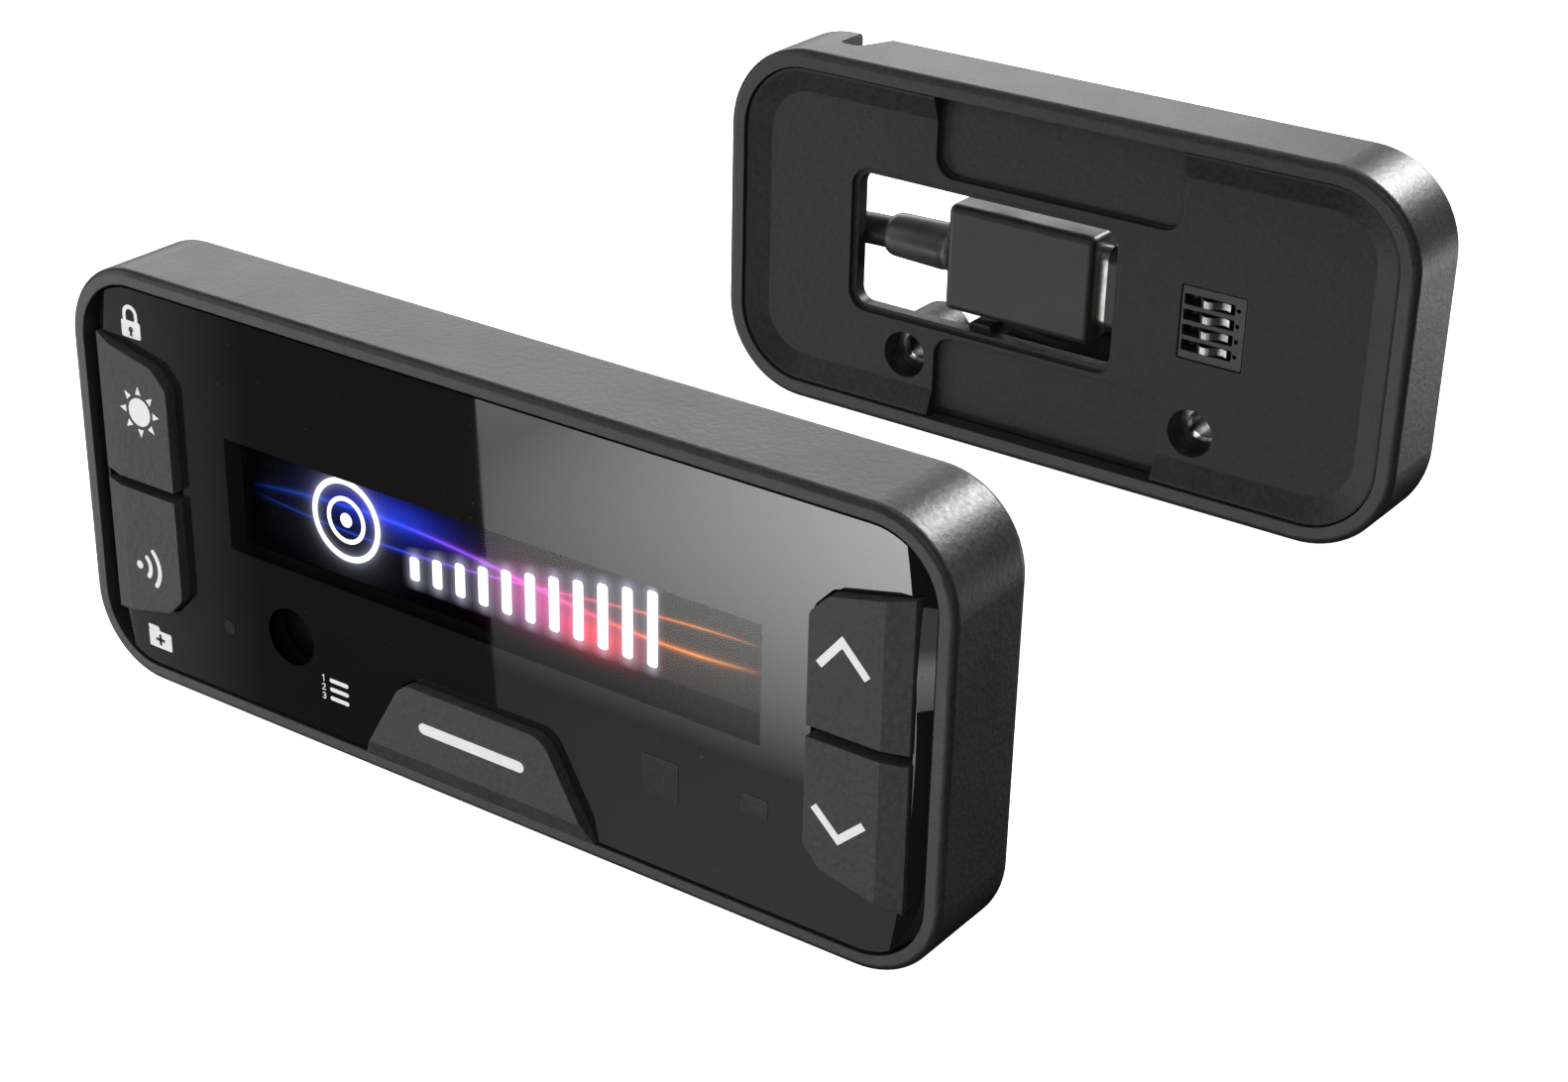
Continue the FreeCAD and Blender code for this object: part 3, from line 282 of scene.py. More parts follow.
def smoked_lens(name):
    """Polished smoked acrylic, printed black behind, with a clear window over the screen and sensor."""
    s = Shade(name)
    smear = s.noise(55.0, 3.0, 0.6)
    hair = s.noise(3000.0, 2.0, 0.7, s.stretched((0.12, 1.0, 1.6)))
    dust = s.spread(s.noise(4200.0, 1.0), 0.0, 1.0, 0.74, 0.78)
    x = s.math("SUBTRACT", s.axis("X"), SCREEN_X / MM)
    z = s.math("SUBTRACT", s.axis("Z"), SCREEN_Z / MM)
    in_x = s.math("LESS_THAN", s.math("ABSOLUTE", x), WINDOW_HALF[0])
    in_z = s.math("LESS_THAN", s.math("ABSOLUTE", z), WINDOW_HALF[1])
    across = s.math("SUBTRACT", s.axis("X"), SENSOR_AT[0])
    up = s.math("SUBTRACT", s.axis("Z"), SENSOR_AT[1] + MID_Z / MM)
    away = s.math("ADD", s.math("MULTIPLY", across, across), s.math("MULTIPLY", up, up))
    in_sensor = s.math("LESS_THAN", away, SENSOR_R ** 2)
    window = s.math("MAXIMUM", s.math("MULTIPLY", in_x, in_z), in_sensor)
    clear = s.add("ShaderNodeBsdfTransparent")
    s.feed(clear.inputs["Color"], s.mix(s.spread(smear, 0.0, 1.0, 0.3, 0.7), grey(0.84), grey(0.88)))
    level = s.math("ADD", s.spread(smear, 0.010, 0.030, 0.45, 0.75), s.spread(hair, 0.0, 0.015, 0.62, 0.75))
    level = s.math("ADD", level, s.math("MULTIPLY", dust, 0.15))
    gloss = s.add("ShaderNodeBsdfGlossy")
    gloss.inputs["Color"].default_value = (1.0, 1.0, 1.0, 1.0)
    s.feed(gloss.inputs["Roughness"], level)
    mirror = s.add("ShaderNodeFresnel")
    mirror.inputs["IOR"].default_value = 1.38
    inside = s.add("ShaderNodeNewGeometry").outputs["Backfacing"]
    outside = s.math("SUBTRACT", 1.0, inside)
    glass = s.add("ShaderNodeMixShader")
    s.feed(glass.inputs[0], s.math("MULTIPLY", mirror.outputs[0], outside))
    s.feed(glass.inputs[1], clear.outputs[0])
    s.feed(glass.inputs[2], gloss.outputs[0])
    print_tone = s.mix(s.spread(smear, 0.0, 1.0, 0.3, 0.7), grey(0.0135), grey(0.0160))
    print_tone = s.mix(s.math("MULTIPLY", dust, 0.2), print_tone, grey(0.10))
    s.set(Base_Color=print_tone, Roughness=level, IOR=1.56)
    blend = s.add("ShaderNodeMixShader")
    s.feed(blend.inputs[0], window)
    s.feed(blend.inputs[1], s.shader.outputs[0])
    s.feed(blend.inputs[2], glass.outputs[0])
    s.feed(s.out.inputs["Surface"], blend.outputs[0])
    return s.material


def bell(s, x, z, at_x, at_z, wide, tall):
    """A soft round patch of light on the screen, 1 in its middle."""
    across = s.math("DIVIDE", s.math("SUBTRACT", x, at_x), wide)
    up = s.math("DIVIDE", s.math("SUBTRACT", z, at_z), tall)
    away = s.math("ADD", s.math("MULTIPLY", across, across), s.math("MULTIPLY", up, up))
    return s.math("POWER", math.e, s.math("MULTIPLY", away, -1.0))


def halo(s, away, reach):
    """Light that falls off with distance, 1 at none."""
    share = s.math("DIVIDE", away, reach)
    return s.math("DIVIDE", 1.0, s.math("ADD", s.math("MULTIPLY", share, share), 1.0))


def streak(s, x, z, level, swing, wave, phase, core):
    """A thin bright wave across the screen, with a wide soft halo."""
    angle = s.math("ADD", s.math("DIVIDE", x, wave), phase)
    line = s.math("ADD", s.math("MULTIPLY", s.math("SINE", angle), swing), level)
    return halo(s, s.math("SUBTRACT", z, line), core)


def bar_bloom(s, x, z):
    """Soft light round the rising bars of the display picture."""
    along = s.math("SUBTRACT", x, TARGET_X + BAR_START)
    beside = s.math("WRAP", along, BAR_PITCH / 2, -BAR_PITCH / 2)
    low = s.math("SUBTRACT", z, TARGET_Z + BAR_FOOT)
    top = s.math("ADD", s.math("MULTIPLY", along, BAR_RISE / BAR_PITCH), BAR_LOW)
    above_foot = s.spread(low, 0.0, 1.0, -0.9, 0.1)
    below_top = s.spread(s.math("SUBTRACT", top, low), 0.0, 1.0, -0.9, 0.1)
    row_end = BAR_PITCH * BAR_COUNT - 1.2
    after_first = s.spread(along, 0.0, 1.0, -1.4, -0.6)
    before_last = s.spread(along, 1.0, 0.0, row_end - 1.0, row_end)
    within = s.math("MULTIPLY", above_foot, below_top)
    span = s.math("MULTIPLY", after_first, before_last)
    return s.math("MULTIPLY", halo(s, beside, 0.55), s.math("MULTIPLY", within, span))


def lit_screen(name):
    """The display's start picture: light trails from blue over magenta to orange, on a pixel grid."""
    s = Shade(name)
    x = s.math("SUBTRACT", s.axis("X"), SCREEN_X / MM)
    z = s.math("SUBTRACT", s.axis("Z"), SCREEN_Z / MM)
    hues = ((0.0, (0.0, 0.0, 0.0)), (0.14, (0.01, 0.06, 0.5)), (0.32, (0.03, 0.08, 1.0)),
            (0.48, (0.40, 0.08, 0.90)), (0.60, (1.0, 0.05, 0.35)), (0.72, (1.0, 0.06, 0.03)),
            (0.88, (1.0, 0.32, 0.04)), (1.0, (0.0, 0.0, 0.0)))
    hue = s.ramp(s.spread(x, 0.0, 1.0, -25.0, 25.0), hues)
    black = (0.0, 0.0, 0.0)
    first = streak(s, x, z, 0.4, 1.1, 9.0, 2.9, 0.12)
    second = streak(s, x, z, 0.5, -1.3, 12.0, 2.6, 0.07)
    trails = s.math("ADD", first, s.math("MULTIPLY", second, 0.8))
    blue = s.mix(bell(s, x, z, -10.5, 1.9, 5.0, 1.5), black, (0.015, 0.03, 0.50))
    rose = s.mix(bell(s, x, z, 4.0, -0.9, 3.6, 1.9), black, (0.40, 0.01, 0.20))
    red = s.mix(bell(s, x, z, 9.5, -2.0, 3.6, 1.3), black, (0.80, 0.0, 0.02))
    glow = s.mix(1.0, s.mix(1.0, blue, rose, "ADD"), red, "ADD")
    light = s.mix(1.0, s.mix(trails, black, hue), glow, "ADD")
    across, up = s.math("SUBTRACT", x, TARGET_X), s.math("SUBTRACT", z, TARGET_Z)
    radius = s.math("SQRT", s.math("ADD", s.math("MULTIPLY", across, across), s.math("MULTIPLY", up, up)))
    rim = halo(s, s.math("SUBTRACT", radius, TARGET_R), 0.30)
    white = s.math("MAXIMUM", rim, bar_bloom(s, x, z))
    bloom = s.mix(s.math("MULTIPLY", white, 0.4), black, (0.75, 0.75, 1.0))
    light = s.mix(1.0, light, bloom, "ADD")
    dot = 0.2
    grid_x = s.math("ABSOLUTE", s.math("SINE", s.math("MULTIPLY", x, math.pi / dot)))
    grid_z = s.math("ABSOLUTE", s.math("SINE", s.math("MULTIPLY", z, math.pi / dot)))
    grid = s.spread(s.math("MINIMUM", grid_x, grid_z), 0.6, 1.0, 0.0, 0.35)
    dots = s.mix(grid, black, light)
    s.set(Base_Color=grey(0.002), Roughness=s.spread(s.noise(900.0), 0.06, 0.12), IOR=1.3)
    s.set(Emission_Color=dots, Emission_Strength=1.6)
    return s.material


def printed(name, tone, light):
    """White ink or a light guide for a symbol: even, with a faint screen-print grain."""
    s = Shade(name)
    grain = s.noise(7000.0, 2.0)
    cloud = s.noise(1200.0, 2.0)
    colour = s.mix(s.spread(cloud, 0.0, 1.0, 0.3, 0.7), grey(tone * 0.93), grey(tone))
    s.set(Base_Color=colour, Roughness=s.spread(grain, 0.35, 0.5), IOR=1.45)
    # Emission: the display's own light for the screen picture, and a painted glow for the white-ink symbols.
    s.set(Emission_Color=colour, Emission_Strength=light)
    s.bump(grain, 0.004 * MM)
    return s.material


def dark_glass(name, tone, rough):
    """Dark glass or clear-coated film, with a faint swirl and a thin haze."""
    s = Shade(name)
    swirl = s.noise(400.0, 3.0)
    haze = s.noise(2600.0, 2.0)
    normal, edge = s.soft_edges(0.08 * MM)
    colour = s.mix(s.spread(swirl, 0.0, 1.0, 0.3, 0.7), grey(tone * 0.7, -0.05), grey(tone * 1.3, 0.05))
    # Painted highlight: the colour is lightened along the rounded edges.
    s.set(Base_Color=s.mix(s.math("MULTIPLY", edge, 0.4), colour, grey(0.08)), IOR=1.52)
    s.set(Roughness=s.spread(haze, rough, rough + 0.08), Coat_Weight=0.4, Coat_Roughness=0.04)
    s.bump(haze, 0.003 * MM, normal)
    return s.material


# ---------------------------------------------------------------- materials: metals and electronics

def metal(name, bright, dull, rough, lines=(1.0, 1.0, 8.0), edge_highlight=0.5):
    """Plated or rolled metal with drawing lines, small stains and edges brightened by painted highlight."""
    s = Shade(name)
    brushed = s.noise(2500.0, 3.0, 0.6, s.stretched(lines))
    stain = s.noise(500.0, 4.0)
    normal, edge = s.soft_edges(0.06 * MM)
    colour = s.mix(s.spread(stain, 0.0, 1.0, 0.35, 0.7), bright, dull)
    # Painted highlight: the colour is brightened along the rounded edges.
    colour = s.mix(s.math("MULTIPLY", edge, edge_highlight), colour, tuple(min(1.0, c * 1.15) for c in bright))
    level = s.math("ADD", s.spread(brushed, rough - 0.05, rough + 0.12), s.spread(stain, 0.0, 0.08))
    s.set(Base_Color=colour, Metallic=1.0, Roughness=level)
    s.bump(brushed, 0.006 * MM, normal)
    return s.material


def circuit(name, mask):
    """Circuit board: solder mask over copper traces, with pads, vias and bare edges."""
    s = Shade(name)
    bricks = s.add("ShaderNodeTexBrick", offset=0.5)
    turned = s.add("ShaderNodeMapping")
    turned.inputs["Rotation"].default_value = (math.pi / 2, 0.0, 0.0)
    s.feed(turned.inputs["Vector"], s.place)
    s.feed(bricks.inputs["Vector"], turned.outputs[0])
    trace_sizes = (("Scale", 260.0), ("Mortar Size", 0.045), ("Brick Width", 0.9), ("Row Height", 0.28))
    for key, value in trace_sizes:
        bricks.inputs[key].default_value = value
    s.feed(bricks.inputs["Color1"], (0.0, 0.0, 0.0))
    s.feed(bricks.inputs["Color2"], (0.0, 0.0, 0.0))
    s.feed(bricks.inputs["Mortar"], (1.0, 1.0, 1.0))
    traces = bricks.outputs["Color"]
    via = s.spread(s.cells(330.0), 1.0, 0.0, 0.12, 0.16)
    copper = s.mix(traces, mask, tuple(min(1.0, c * 2.3) for c in mask))
    colour = s.mix(via, copper, (0.75, 0.55, 0.22))
    weave = s.noise(1800.0, 2.0)
    normal, edge = s.soft_edges(0.08 * MM)
    colour = s.mix(s.math("MULTIPLY", edge, 0.6), colour, (0.28, 0.26, 0.15))
    s.set(Base_Color=colour, Metallic=s.math("MULTIPLY", via, 0.9), Roughness=s.spread(weave, 0.28, 0.5))
    s.set(Coat_Weight=0.2, Coat_Roughness=0.2)
    s.bump(s.math("ADD", s.math("MULTIPLY", weave, 0.2), via), 0.02 * MM, normal)
    return s.material


def woven(name, shade):
    """Hook-and-loop strap: a fine basket weave with fuzz."""
    s = Shade(name)
    thread = 0.35
    across = s.math("SINE", s.math("MULTIPLY", s.axis("Y"), math.pi / thread))
    along = s.math("SINE", s.math("MULTIPLY", s.math("ADD", s.axis("X"), s.axis("Z")), math.pi / thread))
    weave = s.spread(s.math("MULTIPLY", across, along), 0.0, 1.0, -1.0, 1.0)
    fuzz = s.noise(5200.0, 3.0, 0.7)
    cloud = s.noise(350.0, 3.0)
    colour = s.mix(weave, grey(shade * 0.45), grey(shade * 1.3))
    colour = s.mix(s.spread(fuzz, 0.0, 0.5, 0.5, 0.8), colour, grey(shade * 3.2, 0.02))
    s.set(Base_Color=colour, Roughness=s.spread(cloud, 0.78, 0.95), IOR=1.5)
    s.set(Sheen_Weight=0.35, Sheen_Roughness=0.4)
    s.bump(s.math("ADD", weave, s.math("MULTIPLY", fuzz, 0.6)), 0.09 * MM)
    return s.material


MATERIALS = {
    "casing": moulded("casing_charcoal", 0.021, 0.41, grain=3000.0, depth=0.022, round_to=0.16, edge_highlight=0.45,
                      scuffs=0.015),
    "tray": moulded("tray_black", 0.016, 0.47, grain=2300.0, depth=0.050, round_to=0.14, edge_highlight=0.8,
                    scuffs=0.03, gloss=0.32),
    "lens": smoked_lens("lens_smoked"),
    "keycap": moulded("keycap_grained", 0.040, 0.50, grain=2300.0, depth=0.050, round_to=0.14, edge_highlight=0.5,
                      scuffs=0.02, gloss=0.32),
    "bezel": satin("bezel_black", 0.0035, 0.42),
    "display_glass": dark_glass("display_glass", 0.0015, 0.03),
    "display_lit": lit_screen("display_picture"),
    "flex": satin("flex_amber", 0.10, 0.35, tint=0.75),
    "board": circuit("board_green", (0.012, 0.055, 0.028)),
    "chip": moulded("chip_epoxy", 0.022, 0.55, grain=5200.0, depth=0.02, round_to=0.1, edge_highlight=0.3),
    "sensor": dark_glass("sensor_window", 0.012, 0.12),
    "gold": metal("contact_gold", (0.95, 0.72, 0.34), (0.72, 0.48, 0.18), 0.22),
    "nickel": metal("nickel_plate", (0.78, 0.77, 0.74), (0.52, 0.51, 0.49), 0.26),
    "steel": metal("spring_steel", (0.46, 0.455, 0.44), (0.26, 0.26, 0.26), 0.27, lines=(8.0, 1.0, 1.0)),
    "connector": satin("connector_black", 0.012, 0.38),
    "overmould": rubbery("overmould_black", 0.016, 0.42),
    "cord": rubbery("cord_jacket", 0.018, 0.42, rings=0.6),
    "tie": woven("tie_strap", 0.02),
}
# The white-ink symbols are given a faint glow of their own: painted light, as no lamp lights them.
WHITE_INK_PAINTED_GLOW = printed("symbol_white_painted_glow", 0.84, 0.30)
PICTURE_WHITE = printed("picture_white", 0.95, 1.5)
HIDDEN_PRINT = dark_glass("lens_hidden_print", 0.0065, 0.05)
# Painted highlight: the strain reliefs get the overmould's plastic made about three times lighter, standing
# in for the light they catch.
SLEEVE_PAINTED_HIGHLIGHT = rubbery("sleeve_painted_highlight", 0.055, 0.34)
# Painted shade for the microphone port's hole: matte and almost black.
PORT_PAINTED_SHADE = satin("port_painted_shade", 0.0008, 0.75)

NODE_SLOTS = {
    "casing": ("head_housing", "dock_frame", "rear_cover"),
    "tray": ("dock_plate",),
    "lens": ("front_lens",),
    "keycap": ("brightness_key", "sound_key", "up_key", "down_key", "centre_key"),
    "bezel": ("inner_bezel",),
    "display_glass": ("oled_glass",),
    "display_lit": ("oled_screen",),
    "flex": ("oled_flex",),
    "board": ("main_board", "dock_board"),
    "chip": ("processor_chip", "small_chips", "buzzer"),
    "sensor": ("light_sensor",),
    "gold": ("head_contacts",),
    "nickel": ("head_magnets", "plug_tip", "far_plug_tip", "dock_keepers"),
    "steel": ("rear_cover_screws", "dock_board_screws", "screw_rings", "tact_switches",
              *(f"contact_spring_{number}" for number in range(1, 5))),
    "connector": ("contact_block", "usb_socket"),
    "overmould": ("plug_body", "plug_relief", "far_plug_body", "far_plug_relief"),
    "cord": ("cable_tube", "cable_tail", "cable_coil"),
    "tie": ("coil_tie",),
}


def paint(obj, material):
    """Give an object one material."""
    obj.data.materials.clear()
    obj.data.materials.append(material)


def paint_nodes():
    """Give every CAD node its material."""
    for slot, names in NODE_SLOTS.items():
        for name in names:
            paint(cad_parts[name], MATERIALS[slot])


# ---------------------------------------------------------------- pieces: building blocks

def add_piece(name, build, body, slot, material=None, smooth=False):
    """A mesh piece that build(bm) fills in; it rides on a body and names its material slot."""
    mesh = bpy.data.meshes.new(name)
    bm = bmesh.new()
    build(bm)
    bmesh.ops.recalc_face_normals(bm, faces=bm.faces)
    bm.to_mesh(mesh)
    bm.free()
    if smooth:
        mesh.shade_smooth()
    piece = bpy.data.objects.new(name, mesh)
    scene.collection.objects.link(piece)
    paint(piece, material or MATERIALS[slot])
    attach(piece, body)
    return piece


def arc(at, radius, start, end, steps=18):
    """Points along a circle, from one angle to another in degrees."""
    turns = [math.radians(start + (end - start) * i / steps) for i in range(steps + 1)]
    return [(at[0] + radius * math.cos(t), at[1] + radius * math.sin(t)) for t in turns]


def disc(at, radius, steps=40):
    """Outline of a full circle."""
    return arc(at, radius, 0, 360 - 360 / steps, steps - 1)


def round_box(at, wide, tall, corner):
    """Outline of a rectangle with rounded corners."""
    x, z = wide / 2 - corner, tall / 2 - corner
    spots = ((x, z, 0), (-x, z, 90), (-x, -z, 180), (x, -z, 270))
    return [p for sx, sz, turn in spots for p in arc((at[0] + sx, at[1] + sz), corner, turn, turn + 90, 6)]


def stroke(points, wide, round_ends=True):
    """Outline of a line of even width through points."""
    spots = [Vector(p) for p in points]
    left, right = [], []
    last = len(spots) - 1
    for i, spot in enumerate(spots):
        back = (spot - spots[max(i - 1, 0)]).normalized()
        ahead = (spots[min(i + 1, last)] - spot).normalized()
        way = (back + ahead).normalized()
        side = Vector((-way.y, way.x))
        known = ahead if i == 0 else back
        reach = wide / 2 / max(side.dot(Vector((-known.y, known.x))), 0.5)
        left.append(spot + side * reach)
        right.append(spot - side * reach)
    if not round_ends:
        return [tuple(p) for p in left + right[::-1]]
    ends = []
    for spot, toward in ((spots[-1], spots[-1] - spots[-2]), (spots[0], spots[0] - spots[1])):
        turn = math.degrees(math.atan2(toward.y, toward.x))
        ends.append(arc(spot, wide / 2, turn + 90, turn - 90, 8)[1:-1])
    return [tuple(p) for p in left] + ends[0] + [tuple(p) for p in right[::-1]] + ends[1]


def shifted(points, at):
    """Points moved so that their origin is at a place."""
    return [(at[0] + x, at[1] + z) for x, z in points]


def flat_piece(name, outlines, front, thick, body, slot, material):
    """Outlines in millimetres from the head's middle, as a thin raised print that faces the viewer."""
    def build(bm):
        for outline in outlines:
            low = [bm.verts.new((x * MM, front + thick, MID_Z + z * MM)) for x, z in outline]
            high = [bm.verts.new((x * MM, front, MID_Z + z * MM)) for x, z in outline]
            bm.faces.new(low)
            bm.faces.new(high)
            for i in range(len(outline)):
                j = (i + 1) % len(outline)
                bm.faces.new((low[i], low[j], high[j], high[i]))
    return add_piece(name, build, body, slot, material)


# ---------------------------------------------------------------- symbols and display picture

def rays(at, inner, outer, wide, count):
    """Small triangles pointing away from a middle."""
    shapes = []
    for i in range(count):
        turn = 2 * math.pi * i / count
        out = Vector((math.cos(turn), math.sin(turn)))
        side = Vector((-out.y, out.x)) * wide / 2
        foot, tip = Vector(at) + out * inner, Vector(at) + out * outer
        shapes.append([tuple(foot + side), tuple(foot - side), tuple(tip)])
    return shapes


DIGIT_STROKES = {
    "1": ((-0.18, 0.32), (0.05, 0.5), (0.05, -0.5)),
    "2": ((-0.28, 0.3), (-0.1, 0.48), (0.15, 0.46), (0.26, 0.25), (0.15, 0.0), (-0.28, -0.46),
          (0.3, -0.46)),
    "3": ((-0.26, 0.38), (0.0, 0.5), (0.24, 0.32), (0.2, 0.1), (-0.02, 0.02), (0.22, -0.08),
          (0.26, -0.32), (0.0, -0.5), (-0.27, -0.38)),
}


def digit(text, at, tall):
    """Outline of one digit, drawn as a single stroke."""
    points = [(x * tall, z * tall) for x, z in DIGIT_STROKES[text]]
    return stroke(shifted(points, at), tall * 0.15)


def key_symbols():
    """Sun, sound waves, chevrons and dash, one on each key and moving with it."""
    waves = [stroke(arc(SOUND_AT, radius, -38, 44, 14), 0.42) for radius in (1.25, 2.3)]
    dash = stroke([(-DASH_HALF, DASH_Z), (DASH_HALF, DASH_Z)], 0.95)
    shapes = {
        "brightness_key": [disc(SUN_AT, 1.2)] + rays(SUN_AT, 1.5, 2.2, 0.62, 8),
        "sound_key": [disc(SOUND_AT, 0.36, 20)] + waves,
        "centre_key": [dash],
        "up_key": [stroke([(31.8, 5.5), (33.65, 7.75), (35.8, 5.55)], 0.62, False)],
        "down_key": [stroke([(31.7, -5.7), (33.85, -7.75), (35.9, -5.9)], 0.62, False)],
    }
    for key, outlines in shapes.items():
        flat_piece(key + "_symbol", outlines, KEY_Y - INK, INK * 1.5, key + "_body", "display_lit",
                   WHITE_INK_PAINTED_GLOW)


def lock_shapes():
    """A padlock and the keyhole on it."""
    shackle = [(0.65, 0.7)] + arc((0.0, 1.25), 0.65, 0, 180, 14) + [(-0.65, 0.7)]
    slot = [(-0.1, -0.1), (0.1, -0.1), (0.15, -0.55), (-0.15, -0.55)]
    lock = [round_box(LOCK_AT, 2.1, 1.45, 0.2), stroke(shifted(shackle, LOCK_AT), 0.34, False)]
    return lock, [disc(LOCK_AT, 0.24, 16), shifted(slot, LOCK_AT)]


def folder_shapes():
    """A folder with its tab, and the plus sign on it."""
    tab = [(-1.3, 0.83), (-1.3, 1.2), (-0.2, 1.2), (0.05, 0.83)]
    folder = [round_box(FOLDER_AT, 2.6, 1.6, 0.15), shifted(tab, FOLDER_AT)]
    plus = [stroke(shifted([(0.0, -0.5), (0.0, 0.5)], FOLDER_AT), 0.26, False),
            stroke(shifted([(-0.5, 0.0), (0.5, 0.0)], FOLDER_AT), 0.26, False)]
    return folder, plus


def list_shapes():
    """Three numbered lines."""
    numbers = [digit(str(i + 1), (LIST_X, z), 0.54) for i, z in enumerate(LIST_ROWS)]
    lines = [stroke([(LIST_X + 0.85, z), (LIST_X + 2.5, z)], 0.36) for z in LIST_ROWS]
    return numbers + lines


def lens_symbols():
    """White prints on the lens, a near-black disc of painted shade for the port beside them, and the windows
    that its print half hides.
    """
    front, thick = LENS_Y - INK, INK * 0.9
    lock, keyhole = lock_shapes()
    folder, plus = folder_shapes()
    for name, outlines in (("lock", lock), ("folder", folder), ("list", list_shapes())):
        flat_piece(name + "_symbol", outlines, front, thick, "head", "display_lit", WHITE_INK_PAINTED_GLOW)
    flat_piece("lock_keyhole", keyhole, front - INK, thick, "head", "bezel", MATERIALS["bezel"])
    flat_piece("folder_plus", plus, front - INK, thick, "head", "bezel", MATERIALS["bezel"])
    # Painted shade: the port's hole is drawn as a flat matte near-black disc on the lens.
    port = [disc(PORT_AT, PORT_R, 28)]
    flat_piece("microphone_port_painted_shade", port, front, thick, "head", "bezel", PORT_PAINTED_SHADE)
    pane = [disc(SENSOR_AT, SENSOR_R - 0.05)]
    flat_piece("sensor_pane", pane, BEZEL_Y, 8 * INK, "head", "sensor", MATERIALS["sensor"])
    windows = [round_box(at, wide, tall, 0.2) for at, wide, tall in HIDDEN_WINDOWS]
    flat_piece("hidden_windows", windows, front, thick * 0.5, "head", "lens", HIDDEN_PRINT)


def ring_shape(at, outer, inner, steps=48):
    """A ring as two half rings."""
    halves = []
    for start in (0, 180):
        outside = arc(at, outer, start, start + 180, steps // 2)
        halves.append(outside + arc(at, inner, start + 180, start, steps // 2))
    return halves


def display_picture():
    """A round radar target and a row of rising signal bars."""
    middle = (SCREEN_X / MM + TARGET_X, (SCREEN_Z - MID_Z) / MM + TARGET_Z)
    shapes = ring_shape(middle, TARGET_R + 0.25, TARGET_R - 0.25) + ring_shape(middle, 2.0, 1.62)
    shapes.append(disc(middle, 0.6, 24))
    for i in range(BAR_COUNT):
        tall = BAR_LOW + BAR_RISE * i
        at = (middle[0] + BAR_START + BAR_PITCH * i, middle[1] + BAR_FOOT + tall / 2)
        shapes.append(round_box(at, BAR_WIDE, tall, 0.3))
    film = 0.05 * MM
    flat_piece("display_start_picture", shapes, SCREEN_LOW.y - film, film, "head", "display_lit",
               PICTURE_WHITE)


# ---------------------------------------------------------------- cord, plug sleeves and strap

# The lead's middle line in millimetres: from the plug to the coil, and from the coil to the far plug.
ROUTE = [(-20.15, 42.05, 18.175), (-27.3, 42.05, 18.175), (-33.1, 45.2, 13.3), (-33.1, 49.7, 6.5),
         (-27.3, 52.85, 1.6), (-18.5, 52.3, 1.6), (-10.0, 51.1, 1.7), (-2.0, 50.95, 2.0)]
TAIL = [(19.4, 72.35, 11.6), (19.4, 76.3, 13.4), (14.2, 81.85, 15.9), (9.9, 81.85, 15.9)]
CORD = 3.2
COIL_AT = (-2.0, 72.35)
COIL_RADII = (21.4, 18.2, 15.0)
COIL_LAYERS = (2.0, 5.2, 8.4, 11.6)
TURN_POINTS = 16
SLEEVE_SIDES = 48


def coil_points():
    """Turns laid beside and on each other, from the outside in and back out on the next layer."""
    turns = []
    for i, level in enumerate(COIL_LAYERS):
        radii = COIL_RADII if i % 2 == 0 else COIL_RADII[::-1]
        turns += [(radius, level) for radius in radii]
    turns.append(turns[-1])
    whole = len(turns) - 1
    points = []
    spare = math.cos(math.pi / TURN_POINTS)
    for step in range(1, int((whole + 0.25) * TURN_POINTS)):
        turn, part = divmod(step / TURN_POINTS, 1.0)
        here, after = turns[int(turn)], turns[min(int(turn) + 1, whole)]
        ease = min(1.0, max(0.0, (part - 0.7) / 0.3))
        ease = ease * ease * (3 - 2 * ease)
        radius = (here[0] + (after[0] - here[0]) * ease) / spare
        level = here[1] + (after[1] - here[1]) * ease
        angle = 2 * math.pi * step / TURN_POINTS - math.pi / 2
        points.append((COIL_AT[0] + radius * math.cos(angle), COIL_AT[1] + radius * math.sin(angle), level))
    return points


def make_cord():
    """The lead as one smooth curve from plug to far plug, in place of its three plain solids."""
    data = bpy.data.curves.new("lead_cord", "CURVE")
    data.dimensions = "3D"
    data.bevel_depth = CORD / 2 * MM
    data.bevel_resolution = 6
    data.resolution_u = 6
    data.use_fill_caps = True
    line = data.splines.new("NURBS")
    points = ROUTE + coil_points() + TAIL
    line.points.add(len(points) - 1)
    for point, (x, y, z) in zip(line.points, points):
        point.co = (x * MM, y * MM, z * MM, 1.0)
    line.order_u = 3
    line.use_endpoint_u = True
    cord = bpy.data.objects.new("lead_cord", data)
    scene.collection.objects.link(cord)
    data.materials.append(MATERIALS["cord"])
    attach(cord, "dock")
    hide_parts("cable_tube", "cable_tail", "cable_coil")
    return cord


def make_sleeve(name, start, way, profile, node):
    """A turned sleeve along X from start; profile lists distance and radius in millimetres."""
    turns = [2 * math.pi * i / SLEEVE_SIDES for i in range(SLEEVE_SIDES)]

    def build(bm):
        rings = []
        for along, radius in profile:
            x = start[0] + way * along * MM
            rings.append([bm.verts.new((x, start[1] + radius * MM * math.cos(t),
                                        start[2] + radius * MM * math.sin(t))) for t in turns])
        for first, second in zip(rings, rings[1:]):
            join_rings(bm, first, second)
        bm.faces.new(rings[0])
        bm.faces.new(rings[-1])

    piece = add_piece(name, build, "dock", "overmould", SLEEVE_PAINTED_HIGHLIGHT, smooth=True)
    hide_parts(node)
    return piece


def join_rings(bm, first, second):
    """Faces between two rings of as many points."""
    for i in range(len(first)):
        j = (i + 1) % len(first)
        bm.faces.new((first[i], first[j], second[j], second[i]))


